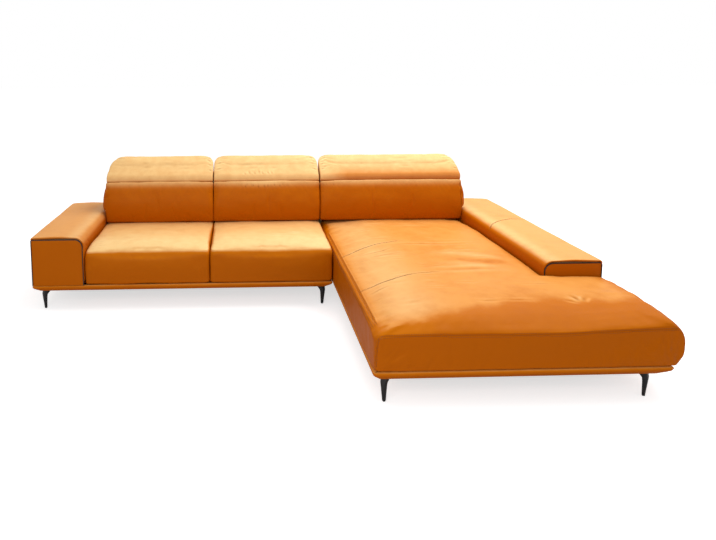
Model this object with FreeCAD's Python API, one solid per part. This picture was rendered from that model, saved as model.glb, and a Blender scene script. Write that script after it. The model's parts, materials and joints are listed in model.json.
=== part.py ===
import FreeCAD, Part
import math
import os

# A leather corner sofa: a two-seat section with a wide left arm, and a chaise section whose right arm
# stops part of the way forward. Each back carries a headrest that tilts on two friction hinges.
# X runs to the right, Y to the back, Z up. The sofa is drawn with x = 0 at its left side and y = 0 at the
# front of the two seats. Every piece is then moved so that the middle of the footprint is the origin.

V = FreeCAD.Vector

# Plan, in millimetres
arm_width = 320.0
seat_width = 765.0
chaise_width = 1030.0
sofa_depth = 1000.0
chaise_reach = 1210.0
right_arm_reach = 600.0
chaise_bulge = 50.0

# Heights of the base
leg_height = 135.0
plinth_thickness = 27.0
plinth_bevel = 42.0
plinth_lip = 5.0
shadow_gap = 3.0

# Seats
seat_edge_height = 356.0
seat_crown = 36.0
seat_rear_height = 380.0
seat_bulge = 9.0
seat_underlap = 150.0
chaise_rise = 4.0
chaise_roll = 76.0
seam_pull = 14.0
step_run = 1.0
frame_height = 118.0
timber = 26.0
deck_clearance = 0.3

# Arms
arm_height = 462.0
arm_pad_thickness = 16.0
arm_round = 50.0
arm_panel_thickness = 18.0
arm_overhang = 9.0
arm_rear_round = 60.0
piping_radius = 2.2

# Backs
back_front = 648.0
back_lean = 42.0
back_thickness = 200.0
back_height = 702.0
skin_thickness = 12.0
back_ear = 27.0

# Headrests
pivot_setback = 97.0
pivot_height = 684.0
headrest_round = 45.0
headrest_length = 236.0
headrest_thickness = 110.0
headrest_top_thickness = 84.0
headrest_lean = 56.0
headrest_under_angle = 64.0
headrest_end_gap = 6.0
headrest_travel = 50.0
board_thickness = 15.0

# Hinges
hinge_plate = 4.0
hinge_cheek = 3.0
hinge_eye = 16.0
hinge_pin_radius = 6.0
pin_clearance = 0.05
cheek_gap = 0.3
hinge_inset = 150.0
bracket_room = 29.0

# Covers, fits and fasteners
cover_wall = 5.0
soft_gap = 0.4
swing_gap = 0.9
joint_gap = 1.0
spring_wire = 2.0
webbing_width = 60.0
webbing_thickness = 2.0
screw_radius = 3.0
screw_length = 22.0
glide_height = 4.0
leg_inset = 62.0
leg_front_inset = 46.0
chaise_leg_inset = 102.0
connector_size = (130.0, 40.0, 4.0)

# Places that follow from the driving sizes
seam_left = arm_width + seat_width
split = arm_width + 2 * seat_width
chaise_right = split + chaise_width
width = chaise_right + arm_width
plinth_top = leg_height + plinth_thickness
body_base = plinth_top + shadow_gap
frame_top = plinth_top + frame_height
back_rear = back_front + back_thickness
seat_rear = back_front + seat_underlap
pivot_y = back_front + pivot_setback
origin_shift = V(-(width + chaise_bulge) / 2, (chaise_reach - sofa_depth) / 2, 0)

made = {}


def keep(name, shape):
    """Store a finished piece under its name."""
    made[name] = shape


def box(x0, x1, y0, y1, z0, z1):
    return Part.makeBox(x1 - x0, y1 - y0, z1 - z0, V(x0, y0, z0))


def group(shapes):
    """Several separate solids that share one name."""
    return Part.makeCompound(shapes)


def inset_corners(corners, distance):
    """Move every side of a clockwise outline inwards by one distance."""
    if distance == 0:
        return list(corners)
    result = []
    count = len(corners)
    for i in range(count):
        ax, ay, _ = corners[i - 1]
        bx, by, radius = corners[i]
        cx, cy, _ = corners[(i + 1) % count]
        first = math.hypot(bx - ax, by - ay)
        second = math.hypot(cx - bx, cy - by)
        n1 = ((by - ay) / first, -(bx - ax) / first)
        n2 = ((cy - by) / second, -(cx - bx) / second)
        spread = 1 + n1[0] * n2[0] + n1[1] * n2[1]
        mx = distance * (n1[0] + n2[0]) / spread
        my = distance * (n1[1] + n2[1]) / spread
        result.append((bx + mx, by + my, max(radius - distance, 1.0)))
    return result


def rounded(corners, place):
    """A closed wire with a tangent arc at every corner; place turns (a, b) into a point in space."""
    count = len(corners)
    sides = []
    for i in range(count):
        ax, ay, _ = corners[i]
        bx, by, _ = corners[(i + 1) % count]
        sides.append(math.hypot(bx - ax, by - ay))
    halves = []
    reaches = []
    for i in range(count):
        px, py, _ = corners[i - 1]
        x, y, radius = corners[i]
        qx, qy, _ = corners[(i + 1) % count]
        turn = ((px - x) * (qx - x) + (py - y) * (qy - y)) / (sides[i - 1] * sides[i])
        halves.append(math.acos(max(-1.0, min(1.0, turn))) / 2)
        reaches.append(radius / math.tan(halves[i]))
    for i in range(count):
        after = (i + 1) % count
        room = 0.996 * sides[i] / (reaches[i] + reaches[after])
        if room < 1:
            reaches[i] *= room
            reaches[after] *= room
    starts, middles, ends = [], [], []
    for i in range(count):
        px, py, _ = corners[i - 1]
        x, y, _ = corners[i]
        qx, qy, _ = corners[(i + 1) % count]
        ux, uy = (px - x) / sides[i - 1], (py - y) / sides[i - 1]
        wx, wy = (qx - x) / sides[i], (qy - y) / sides[i]
        radius = reaches[i] * math.tan(halves[i])
        bx, by = ux + wx, uy + wy
        length = math.hypot(bx, by)
        middle = radius / math.sin(halves[i]) - radius
        starts.append((x + ux * reaches[i], y + uy * reaches[i]))
        ends.append((x + wx * reaches[i], y + wy * reaches[i]))
        middles.append((x + bx / length * middle, y + by / length * middle))
    edges = []
    for i in range(count):
        edges.append(Part.Arc(place(*starts[i]), place(*middles[i]), place(*ends[i])).toShape())
        edges.append(Part.LineSegment(place(*ends[i]), place(*starts[(i + 1) % count])).toShape())
    return Part.Wire(edges)


def section_x(corners, x):
    """An outline of (y, z) corners standing at one x."""
    return rounded(corners, lambda a, b: V(x, a, b))


def section_y(corners, y):
    """An outline of (x, z) corners standing at one y."""
    return rounded(corners, lambda a, b: V(a, y, b))


def section_z(corners, z):
    """An outline of (x, y) corners lying at one z."""
    return rounded(corners, lambda a, b: V(a, b, z))


def prism(wire, direction):
    return Part.Face(wire).extrude(direction)


def loft(wires):
    """A solid whose skin runs straight from each outline to the next."""
    return Part.makeLoft(wires, True, True)


def mirrored(shape):
    """The same piece on the right side of the sofa."""
    return shape.mirror(V(width / 2, 0, 0), V(1, 0, 0))


# How far each crosswise section of a cushion is drawn in: place from the end, and share of the draw
END_STEPS = ((0.0, 1.0), (4.0, 0.7), (12.0, 0.42), (28.0, 0.2), (60.0, 0.06), (120.0, 0.0))
MIDDLE_STEPS = ((0.32, -0.1), (0.5, -0.15), (0.68, -0.1))


def stations(x0, x1, inset):
    """Places along a cushion with the share by which each is drawn in, closest at its two ends."""
    left = [(x0 + inset + step, draw) for step, draw in END_STEPS]
    right = [(x1 - inset - step, draw) for step, draw in reversed(END_STEPS)]
    middle = [(x0 + (x1 - x0) * share, draw) for share, draw in MIDDLE_STEPS]
    return left + middle + right


# Seat cushions

def seat_outline(front, rear, draw, base):
    """Side view of a seat: a bulging front, a rounded top edge, a crown and a flat rear."""
    pull = seam_pull * draw
    drop = seat_crown * draw
    edge = seat_edge_height - 0.45 * drop
    crown = seat_edge_height + seat_crown - drop
    level = seat_rear_height - 0.3 * max(drop, 0)
    run = back_front - front
    return [
        (front + 4 + pull, base, 3.0),
        (front - seat_bulge + 6 + pull, (body_base + edge) / 2, 190.0),
        (front + 9 + pull, edge + 10, 44.0),
        (front + 150, crown, 240.0),
        (front + 0.62 * run, crown - 2, 500.0),
        (front + run - 20, level, 200.0),
        (rear, level, 12.0),
        (rear, base, 3.0),
    ]


def seat_form(x0, x1, inset):
    """A seat cushion; an inset form also reaches below, so that a cover cut with it is open there."""
    base = body_base - 4 * inset
    wires = []
    for x, draw in stations(x0, x1, inset):
        outline = seat_outline(0.0, seat_rear, draw, base)
        wires.append(section_x(inset_corners(outline, inset), x))
    return loft(wires)


def foam_above(form, floor):
    """The part of a form that lies above the springs."""
    bounds = form.BoundBox
    return form.common(box(bounds.XMin, bounds.XMax, bounds.YMin, bounds.YMax, floor, bounds.ZMax + 1))


def timber_ring(x0, x1, y0, y1, z0, z1):
    """Four boards set on edge around a seat: front, rear and two sides between them."""
    return [
        box(x0, x1, y0, y0 + timber, z0, z1),
        box(x0, x1, y1 - timber, y1, z0, z1),
        box(x0, x0 + timber, y0 + timber, y1 - timber, z0, z1),
        box(x1 - timber, x1, y0 + timber, y1 - timber, z0, z1),
    ]


def zigzag_spring(x, y0, y1, z, amplitude, count):
    """A flat zigzag wire that runs from the front board to the rear one."""
    pitch = (y1 - y0) / count
    turn = pitch / 2
    points = []
    edges = []
    side = 1
    for i in range(count + 1):
        y = y0 + i * pitch
        a = V(x - side * (amplitude - turn), y, z)
        b = V(x + side * (amplitude - turn), y, z)
        edges.append(Part.LineSegment(a, b).toShape())
        if i < count:
            bend = V(x + side * amplitude, y + turn, z)
            edges.append(Part.Arc(b, bend, V(b.x, y + pitch, z)).toShape())
        points.append(a)
        side = -side
    path = Part.Wire(edges)
    ring = Part.Wire(Part.makeCircle(spring_wire, points[0], V(1, 0, 0)))
    return path.makePipeShell([ring], True, False)


def seat_unit(side, x0, x1):
    """One seat: timber frame, springs, foam and cover."""
    left = x0 + soft_gap
    right = x1 - soft_gap
    outer = seat_form(left, right, 0.0)
    inner = seat_form(left, right, cover_wall)
    keep("seat_cover_" + side, outer.cut(inner))
    deck = frame_top + 2 * spring_wire + 2 * deck_clearance
    foam = seat_form(left, right, cover_wall + soft_gap)
    keep("seat_foam_" + side, foam_above(foam, deck))
    margin = cover_wall + 16
    frame = timber_ring(left + margin, right - margin, margin + 12, seat_rear - margin, plinth_top, frame_top)
    keep("seat_frame_" + side, group(frame))
    springs = []
    count = 5
    amplitude = 34.0
    first = left + margin + timber + amplitude + 24
    last = right - margin - timber - amplitude - 24
    for i in range(count):
        x = first + (last - first) * i / (count - 1)
        front = margin + 12 + timber / 2
        rear = seat_rear - margin - timber / 2
        springs.append(zigzag_spring(x, front, rear, frame_top + spring_wire + deck_clearance, amplitude, 13))
    keep("seat_springs_" + side, group(springs))


# Chaise cushion

def chaise_outline(right, wide, draw, drop, base):
    """Front view of the chaise: a rounded left edge, a low crown, and on the wide part a soft bulging end."""
    pull = seam_pull * draw
    top = seat_edge_height + chaise_rise
    outline = [
        (split + soft_gap + pull, base, 3.0),
        (split + soft_gap + pull, top - 0.5 * drop, 40.0),
        (split + 330, top + seat_crown - drop, 900.0),
        (chaise_right - 150, top + seat_crown * 0.8 - 0.9 * drop, 900.0),
    ]
    if wide:
        belly = (right + chaise_bulge + 22 - pull, (top + body_base) / 2 + 12)
        foot = right - 16 - pull
        slope = (belly[0] - foot) / (belly[1] - body_base)
        outline += [
            (right - 60, top + 6 - 0.55 * drop, 60.0),
            (belly[0], belly[1], 110.0),
            (foot - slope * (body_base - base), base, 6.0),
        ]
    else:
        outline += [
            (right - 1, top + 22 - drop, 10.0),
            (right, (top + body_base) / 2 + 12, 110.0),
            (right - 1, base, 3.0),
        ]
    return outline


# How the front of the chaise rolls down to its seam: place from the front, share of the pull at the two
# sides, and share of the roll
ROLL_STEPS = ((0.0, 1.0, 1.0), (7.0, 0.55, 0.84), (26.0, 0.2, 0.68), (60.0, 0.05, 0.5),
              (110.0, 0.0, 0.31), (180.0, 0.0, 0.14), (300.0, -0.1, 0.0))


def chaise_form(inset):
    """The wide front part and the narrow part beside the arm, as one cushion with a step between the two."""
    front = -chaise_reach
    step = -right_arm_reach - arm_overhang - soft_gap - inset
    base = body_base - 4 * inset
    low = (seat_edge_height + chaise_rise + seat_crown - seat_rear_height) / seat_crown
    wires = []
    for reach, draw, share in ROLL_STEPS:
        outline = chaise_outline(width, True, draw, chaise_roll * share, base)
        wires.append(section_y(inset_corners(outline, inset), front + inset + reach))
    outline = chaise_outline(width, True, 0.0, 0.0, base)
    wires.append(section_y(inset_corners(outline, inset), step - step_run))
    rear_steps = ((step, 0.0), (-right_arm_reach / 2, -0.1), (back_front - 300, -0.05),
                  (back_front - 120, 0.4 * low), (back_front - 10, low), (seat_rear - inset, low))
    for y, draw in rear_steps:
        outline = chaise_outline(chaise_right - soft_gap, False, draw, seat_crown * draw, base)
        wires.append(section_y(inset_corners(outline, inset), y))
    return loft(wires)


def chaise_unit():
    outer = chaise_form(0.0)
    inner = chaise_form(cover_wall)
    keep("chaise_cover", outer.cut(inner))
    deck = frame_top + webbing_thickness + 2 * deck_clearance
    keep("chaise_foam", foam_above(chaise_form(cover_wall + soft_gap), deck))
    margin = cover_wall + 16
    left = split + margin
    right = chaise_right - margin
    front = margin + 12 - chaise_reach
    rear = seat_rear - margin
    frame = timber_ring(left, right, front, rear, plinth_top, frame_top)
    wing_right = width - margin - 34
    wing_rear = -right_arm_reach - margin - 12
    frame.append(box(right, wing_right, front, front + timber, plinth_top, frame_top))
    frame.append(box(right, wing_right, wing_rear - timber, wing_rear, plinth_top, frame_top))
    frame.append(box(wing_right - timber, wing_right, front + timber, wing_rear - timber, plinth_top, frame_top))
    keep("chaise_frame", group(frame))
    straps = []
    z = frame_top + deck_clearance
    count = 14
    run = rear - front - webbing_width - 2 * timber
    for i in range(count):
        y = front + timber + run * i / (count - 1)
        end = wing_right if y + webbing_width < wing_rear - timber else right
        straps.append(box(left + 4, end - 4, y, y + webbing_width, z, z + webbing_thickness))
    keep("chaise_webbing", group(straps))


# Arms, drawn on the left and mirrored for the right

def arm_plan(front, rear, inset, outer_only):
    """Plan of the arm with its rounded rear outer corner."""
    inner = arm_width - (0 if outer_only else inset)
    round_rear = max(arm_rear_round - inset, 4.0)
    return [
        (inset, front, 5.0),
        (inset, rear - inset, round_rear),
        (inner, rear - inset, 1.0),
        (inner, front, 1.0),
    ]


def arm_section(inset, base):
    """Front view of the arm: square outer corner, large round at the inner one."""
    top = arm_height - inset
    return [
        (0.0 + inset, base, 1.0),
        (0.0 + inset, top, 7.0),
        (arm_width - inset, top, arm_round - inset),
        (arm_width - inset, base, 1.0),
    ]


def arm_unit(side, reach, finish):
    """One arm that runs from y = -reach to the back."""
    front = -reach
    rear = sofa_depth
    length = rear - front
    plan = prism(section_z(arm_plan(front - arm_overhang, rear, 0.0, True), body_base), V(0, 0, 600))
    outer = prism(section_y(arm_section(0.0, body_base), front - arm_overhang), V(0, length + arm_overhang, 0))
    hollow_corners = arm_section(arm_pad_thickness, body_base - 50)
    hollow_corners[0] = (-50.0, body_base - 50, 1.0)
    hollow_corners[1] = (-50.0, arm_height - arm_pad_thickness, 1.0)
    hollow = prism(section_y(hollow_corners, front - 100), V(0, length + 200, 0))
    pad = outer.cut(hollow).common(plan)
    core_corners = arm_section(arm_pad_thickness + soft_gap, body_base)
    core_corners[0] = (0.0, body_base, 1.0)
    core_corners[1] = (0.0, arm_height - arm_pad_thickness - soft_gap, 2.0)
    core = prism(section_y(core_corners, front), V(0, length, 0)).common(plan)
    panel = core.common(box(-1, arm_width + 1, front, front + arm_panel_thickness, 0, 1000))
    inner_plan = arm_plan(front + arm_panel_thickness, rear, skin_thickness, True)
    inner_plan_solid = prism(section_z(inner_plan, 0), V(0, 0, 1000))
    body = core.common(box(-1, arm_width + 1, front + arm_panel_thickness, rear + 1, 0, 1000))
    side_cover = body.cut(inner_plan_solid)
    block = body.common(inner_plan_solid)
    bounds = block.BoundBox
    hollow_box = box(bounds.XMin + timber, bounds.XMax - timber, bounds.YMin + timber, bounds.YMax - timber,
                     body_base + timber, bounds.ZMax - timber)
    frame = block.cut(hollow_box)
    frame = frame.cut(box(bounds.XMin + 2 * timber, bounds.XMax - 2 * timber, bounds.YMin + 2 * timber,
                          bounds.YMax - 2 * timber, body_base - 1, body_base + timber + 1))
    feet = box(bounds.XMin, bounds.XMax, bounds.YMin + timber, bounds.YMax - arm_rear_round,
               plinth_top, body_base)
    feet = feet.cut(box(bounds.XMin + timber, bounds.XMax - timber, bounds.YMin + 2 * timber,
                        bounds.YMax - arm_rear_round - timber, 0, 1000))
    frame = frame.fuse(feet)
    rail = arm_height - arm_pad_thickness - piping_radius - soft_gap
    inner = arm_width - arm_pad_thickness - piping_radius - soft_gap
    bend = arm_round - arm_pad_thickness - piping_radius - soft_gap
    y = front - piping_radius - soft_gap
    corner = V(inner - bend, y, rail - bend)
    lean = math.sqrt(0.5)
    path = Part.Wire([
        Part.LineSegment(V(6, y, rail), V(corner.x, y, rail)).toShape(),
        Part.Arc(V(corner.x, y, rail), V(corner.x + bend * lean, y, corner.z + bend * lean),
                 V(inner, y, corner.z)).toShape(),
        Part.LineSegment(V(inner, y, corner.z), V(inner, y, body_base + 4)).toShape(),
    ])
    ring = Part.Wire(Part.makeCircle(piping_radius, V(6, y, rail), V(1, 0, 0)))
    piping = path.makePipeShell([ring], True, False)
    for name, shape in (("arm_pad_", pad), ("arm_front_panel_", panel), ("arm_side_cover_", side_cover),
                        ("arm_frame_", frame), ("arm_piping_", piping)):
        keep(name + side, finish(shape))


# Bases and legs

def plinth(name, x0, x1, y0, y1):
    """A base board whose underside is bevelled all round."""
    def outline(inset, radius, z):
        return section_z([
            (x0 - plinth_lip + inset, y0 - plinth_lip + inset, radius),
            (x0 - plinth_lip + inset, y1 - inset, radius),
            (x1 + inset * -1, y1 - inset, radius),
            (x1 - inset, y0 - plinth_lip + inset, radius),
        ], z)
    edge = plinth_top - 7
    upper = prism(outline(0.0, 18.0, edge), V(0, 0, plinth_top - edge))
    lower = Part.makeLoft([outline(plinth_bevel, 8.0, leg_height), outline(0.0, 18.0, edge)], True, True)
    keep("plinth_" + name, upper.fuse(lower).removeSplitter())
    sheet = 1.0
    gap = plinth_bevel + leg_front_inset + 60
    keep("dust_cover_" + name, box(x0 + gap, x1 - gap, y0 + gap, y1 - gap, leg_height - sheet, leg_height))


def leg(x, y, dx, dy):
    """A bent leg: a flat plate under the base board, a knee that leans outwards and a tapered shin."""
    angle = math.degrees(math.atan2(dy, dx))
    plate_z = leg_height - 4

    def slab(r, z, length, thickness, tilt):
        c, s = math.cos(math.radians(tilt)), math.sin(math.radians(tilt))
        corners = [(-length / 2, -thickness / 2, 3.0), (-length / 2, thickness / 2, 3.0),
                   (length / 2, thickness / 2, 3.0), (length / 2, -thickness / 2, 3.0)]
        return rounded(corners, lambda a, b: V(r + a * c, b, z + a * s))

    arm = Part.makeLoft([
        slab(-30, plate_z, 36, 28, 0),
        slab(-18, leg_height - 16, 36, 29, 12),
        slab(2, leg_height - 34, 27, 27, 20),
        slab(2, leg_height - 62, 21, 22, 4),
        slab(0, glide_height, 13, 15, 0),
    ], True, True)
    plate = box(-62, -6, -27, 27, plate_z, leg_height)
    shape = arm.fuse(plate)
    shape.rotate(V(0, 0, 0), V(0, 0, 1), angle)
    shape.translate(V(x, y, 0))
    return shape


def leg_places():
    """Foot positions and the outward direction of each leg."""
    front = leg_front_inset
    rear = sofa_depth - leg_front_inset - 20
    chaise_front = leg_front_inset - chaise_reach
    return [
        (leg_inset, front, -1, -1),
        (split - leg_inset, front, 1, -1),
        (leg_inset, rear, -1, 1),
        (split - leg_inset, rear, 1, 1),
        (split + leg_inset, chaise_front, -1, -1),
        (width - chaise_leg_inset, chaise_front, 1, -1),
        (split + leg_inset, rear, -1, 1),
        (width - chaise_leg_inset, rear, 1, 1),
    ]


def screw(x, y, z, up):
    """A round-headed wood screw; up is 1 when it is driven upwards."""
    shank = Part.makeCylinder(screw_radius, screw_length, V(x, y, z), V(0, 0, up))
    head = Part.makeCylinder(screw_radius * 2, 2.5, V(x, y, z - up * 2.5), V(0, 0, up))
    return head.fuse(shank)


def drill(names, screws):
    """Clear every named piece of the screws that pass through it."""
    holes = group([Part.makeCylinder(screw_radius + 0.1, screw_length + 1, V(x, y, z - up * 0.5), V(0, 0, up))
                   for x, y, z, up in screws])
    for name in names:
        made[name] = made[name].cut(holes)


def base_unit():
    plinth("sofa", 0.0, split - joint_gap / 2, 0.0, sofa_depth)
    plinth("chaise", split + joint_gap / 2 + plinth_lip, width + plinth_lip, -chaise_reach, sofa_depth)
    legs, glides, screws = [], [], []
    for x, y, dx, dy in leg_places():
        legs.append(leg(x, y, dx, dy))
        glides.append(Part.makeCylinder(6.5, glide_height, V(x, y, 0)))
        length = math.hypot(dx, dy)
        for r, t in ((-55, 20), (-55, -20)):
            sx = x + (dx * r - dy * t) / length
            sy = y + (dy * r + dx * t) / length
            screws.append((sx, sy, leg_height - 4, 1))
    keep("legs", group(legs))
    keep("leg_glides", group(glides))
    plates = []
    length, depth, thick = connector_size
    for y in (250.0, sofa_depth - 250.0):
        plates.append(box(split - length / 2, split + length / 2, y, y + depth, leg_height - thick, leg_height))
        for x in (split - length / 2 + 14, split + length / 2 - 14):
            screws.append((x, y + depth / 2, leg_height - thick, 1))
    keep("section_connectors", group(plates))
    return screws


# Backs

def back_outline(draw):
    """Side view of a back cushion, from the seat up to the lip under the headrest."""
    pull = 12.0 * draw
    lip = back_front + back_lean
    low = pivot_height - headrest_round - 12
    return [
        (back_front + 14 + pull, seat_rear_height + deck_clearance, 26.0),
        (back_front - 8 + pull, seat_rear_height + 110, 300.0),
        (lip - 12 + pull, pivot_height - 46, 160.0),
        (lip + pull * 0.5, pivot_height - 6 * draw, 10.0),
        (pivot_y + 6, low, 20.0),
        (back_rear, low, 6.0),
        (back_rear, seat_rear_height + deck_clearance, 6.0),
    ]


def back_ear_form(x, direction, inset):
    """The swelling of a back cushion over the top of the arm beside it."""
    base = arm_height + soft_gap + 3
    wires = []
    for reach, draw in ((0.0, 0.0), (0.5, 0.5), (0.85, 1.8), (1.0, 3.2)):
        pull = 12.0 * draw
        outline = [
            (back_front + 12 + pull, base + pull * 0.3, 26.0),
            (back_front + back_lean - 22 + pull, pivot_height - 50 - pull, 60.0),
            (back_rear - 40 - pull, pivot_height - 70 - pull, 20.0),
            (back_rear - 8 - pull, base + pull * 0.3, 10.0),
        ]
        place = x + direction * (reach * (back_ear - inset) - 6 * (1 - reach))
        wires.append(section_x(inset_corners(outline, inset), place))
    return loft(wires)


def back_form(x0, x1, inset, ears):
    wires = []
    for x, draw in stations(x0, x1, inset):
        wires.append(section_x(inset_corners(back_outline(draw), inset), x))
    form = loft(wires)
    for direction in ears:
        edge = x0 if direction < 0 else x1
        form = form.fuse(back_ear_form(edge, direction, inset))
    seat = Part.makeCylinder(headrest_round + swing_gap + inset, x1 - x0 + 200, V(x0 - 100, pivot_y, pivot_height),
                             V(1, 0, 0))
    return form.cut(seat)


def back_unit(side, x0, x1, ears):
    outer = back_form(x0, x1, 0.0, ears)
    keep("back_cover_" + side, outer.cut(back_form(x0, x1, cover_wall, ears)))
    keep("back_foam_" + side, back_form(x0, x1, cover_wall + soft_gap, ears))


def back_frame(section, x0, x1, uprights):
    """Uprights and rails that stand on the base board, webbing across them and the upholstered rear skin."""
    front = back_rear + soft_gap
    rear = sofa_depth - skin_thickness - soft_gap
    rail_top = bracket_base()
    rear_top = back_height - skin_thickness - soft_gap
    left = x0 + skin_thickness + soft_gap
    right = x1 - skin_thickness - soft_gap
    solids = []
    places = [left + (right - left - timber) * i / (uprights - 1) for i in range(uprights)]
    for x in places:
        profile = [(front, plinth_top, 1.0), (front, rail_top - 40, 1.0), (rear - 50, rear_top - 40, 1.0),
                   (rear, rear_top - 40, 1.0), (rear, plinth_top, 1.0)]
        solids.append(prism(section_x(profile, x), V(timber, 0, 0)))
    solids.append(box(left, right, front, front + 50, rail_top - 39, rail_top))
    solids.append(box(left, right, rear - 49, rear, rear_top - 39, rear_top))
    keep("back_frame_" + section, group(solids))
    straps = []
    rows = 4
    low = seat_rear_height + 10
    step = (rail_top - 60 - low - webbing_width) / (rows - 1)
    for a, b in zip(places[:-1], places[1:]):
        for i in range(rows):
            z = low + step * i
            straps.append(box(a + timber, b, front + 1, front + 1 + webbing_thickness, z, z + webbing_width))
    keep("back_webbing_" + section, group(straps))
    outer = [(sofa_depth, body_base, 2.0), (front + 62, body_base, 2.0), (front + 62, back_height, 12.0),
             (sofa_depth, back_height, 22.0)]
    corners = [(sofa_depth - skin_thickness, body_base - 5, 1.0), (front + 50, body_base - 5, 1.0),
               (front + 50, back_height - skin_thickness, 1.0),
               (sofa_depth - skin_thickness, back_height - skin_thickness, 1.0)]
    shell = prism(section_x(outer, x0), V(x1 - x0, 0, 0))
    shell = shell.cut(prism(section_x(corners, x0 - 1), V(x1 - x0 + 2, 0, 0)))
    return shell


def bracket_base():
    """Height of the front back rail, on which the headrest brackets stand."""
    return pivot_height - headrest_round + 2


def back_skins():
    """Rear skins of both sections, with an end panel beside each arm."""
    front = back_rear + soft_gap
    sofa = back_frame("sofa", arm_width + soft_gap, split - joint_gap / 2, 4)
    chaise = back_frame("chaise", split + joint_gap / 2, chaise_right - soft_gap, 3)
    rear = sofa_depth - skin_thickness
    for name, shell, x in (("sofa", sofa, arm_width + soft_gap),
                           ("chaise", chaise, chaise_right - soft_gap - skin_thickness)):
        profile = [(front, body_base, 1.0), (front, bracket_base() - 3, 6.0),
                   (front + 62, back_height - skin_thickness, 6.0), (rear, back_height - skin_thickness, 10.0),
                   (rear, body_base, 1.0)]
        end = prism(section_x(profile, x), V(skin_thickness, 0, 0))
        keep("back_skin_" + name, shell.fuse(end))


# Headrests, drawn upright about the pivot and then leaned back

def headrest_outline(draw, inset):
    """Side view in (depth, height) about the pivot; the lower front edge is round about the pivot."""
    r = headrest_round
    swing = math.radians(headrest_under_angle)
    touch = (r * math.sin(swing), -r * math.cos(swing))
    corner = (r * math.tan(swing / 2), -r)
    back = headrest_thickness - r
    heel = touch[1] + (back - touch[0]) * math.tan(swing)
    top = headrest_length - 46 * max(draw, 0)
    head = headrest_top_thickness - r
    outline = [
        (-r, -r, r),
        (-r, r * 1.2, 160.0),
        (-r - 2, top * 0.6, 260.0),
        (-r + 9, top, 34.0),
        (head, top - 12, 40.0),
        (back, heel, 12.0),
        (corner[0], corner[1], r),
    ]
    return inset_corners(outline, inset + 3.0 * max(draw, 0))


HEADREST_STEPS = ((0.0, 1.6), (4.0, 1.15), (12.0, 0.75), (26.0, 0.36), (50.0, 0.12), (95.0, 0.0))


def headrest_form(x0, x1, inset):
    steps = [(x0 + inset + s, d) for s, d in HEADREST_STEPS]
    steps.append(((x0 + x1) / 2, 0.0))
    steps += [(x1 - inset - s, d) for s, d in reversed(HEADREST_STEPS)]
    return loft([section_x(headrest_outline(d, inset), x) for x, d in steps])


def lean_back(shape):
    """Turn an upright headrest piece to its folded place and carry it to the pivot."""
    shape = shape.copy()
    shape.rotate(V(0, 0, 0), V(1, 0, 0), -headrest_lean)
    shape.translate(V(0, pivot_y, pivot_height))
    return shape


def hinge_half():
    """Half the width of a hinge over its cheeks and pin heads."""
    return hinge_plate / 2 + cheek_gap + hinge_cheek + 2.0


def hinge_bracket(x):
    """Fixed half: a foot screwed to the back rail and an upright plate that ends in an eye at the pivot."""
    base = bracket_base()
    front = back_rear + soft_gap
    foot = box(x - 22, x + 22, front, front + 44, base, base + hinge_plate)
    y0, z0 = pivot_y, pivot_height
    corners = [(y0 - hinge_eye, z0 - hinge_eye, hinge_eye), (y0 - hinge_eye, z0 + hinge_eye, hinge_eye),
               (y0 + hinge_eye * 0.2, z0 + hinge_eye, hinge_eye), (front + 40, base + 12, 6.0),
               (front + 40, base + hinge_plate * 0.5, 1.0), (front + 2, base + hinge_plate * 0.5, 1.0)]
    web = prism(section_x(corners, x - hinge_plate / 2), V(hinge_plate, 0, 0))
    bore = Part.makeCylinder(hinge_pin_radius + pin_clearance, 40, V(x - 20, y0, z0), V(1, 0, 0))
    return foot.fuse(web).cut(bore)


def board_span():
    """Depth and height range of the plywood board inside an upright headrest."""
    return 16.0, 70.0, headrest_length - 46.0


def hinge_arm(x):
    """Moving half, drawn upright: two cheeks beside the bracket, joined by a flange on the board."""
    depth, low, _ = board_span()
    solids = []
    for side in (-1, 1):
        inner = x + side * (hinge_plate / 2 + cheek_gap)
        x0 = min(inner, inner + side * hinge_cheek)
        corners = [(-hinge_eye, -hinge_eye, hinge_eye), (-hinge_eye, hinge_eye, 10.0),
                   (depth - hinge_cheek - 12, low, 8.0), (depth - hinge_cheek - 12, low + 58, 4.0),
                   (depth - 0.5, low + 58, 1.0), (depth - 0.5, low, 6.0), (hinge_eye, hinge_eye * 0.5, 8.0),
                   (hinge_eye, -hinge_eye, hinge_eye)]
        solids.append(prism(section_x(corners, x0), V(hinge_cheek, 0, 0)))
    flange = box(x - 24, x + 24, depth - hinge_cheek, depth, low + 6, low + 56)
    arm = solids[0].fuse([solids[1], flange])
    return arm.cut(Part.makeCylinder(hinge_pin_radius, 40, V(x - 20, 0, 0), V(1, 0, 0)))


def hinge_pin(x):
    half = hinge_half()
    shank = Part.makeCylinder(hinge_pin_radius, 2 * half, V(x - half, 0, 0), V(1, 0, 0))
    heads = [Part.makeCylinder(hinge_pin_radius + 3, 2.0, V(x + s, 0, 0), V(1, 0, 0)) for s in (-half, half - 2.0)]
    return shank.fuse(heads)


def hinge_pocket(x, travel):
    """Room inside an upright headrest for the hinge: a round, the arm's channel and the bracket's sweep."""
    half = hinge_half() + 1.0
    depth, low, _ = board_span()
    around = Part.makeCylinder(hinge_eye + 18, 2 * half, V(x - half, 0, 0), V(1, 0, 0))
    channel = box(x - half, x + half, -hinge_eye - 3, depth, 0, low + 62)
    shelf = box(x - 26, x + 26, depth - hinge_cheek - 1, depth, low + 3, low + 60)
    return around.fuse([channel, shelf, bracket_sweep(x, half, travel)])


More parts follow.
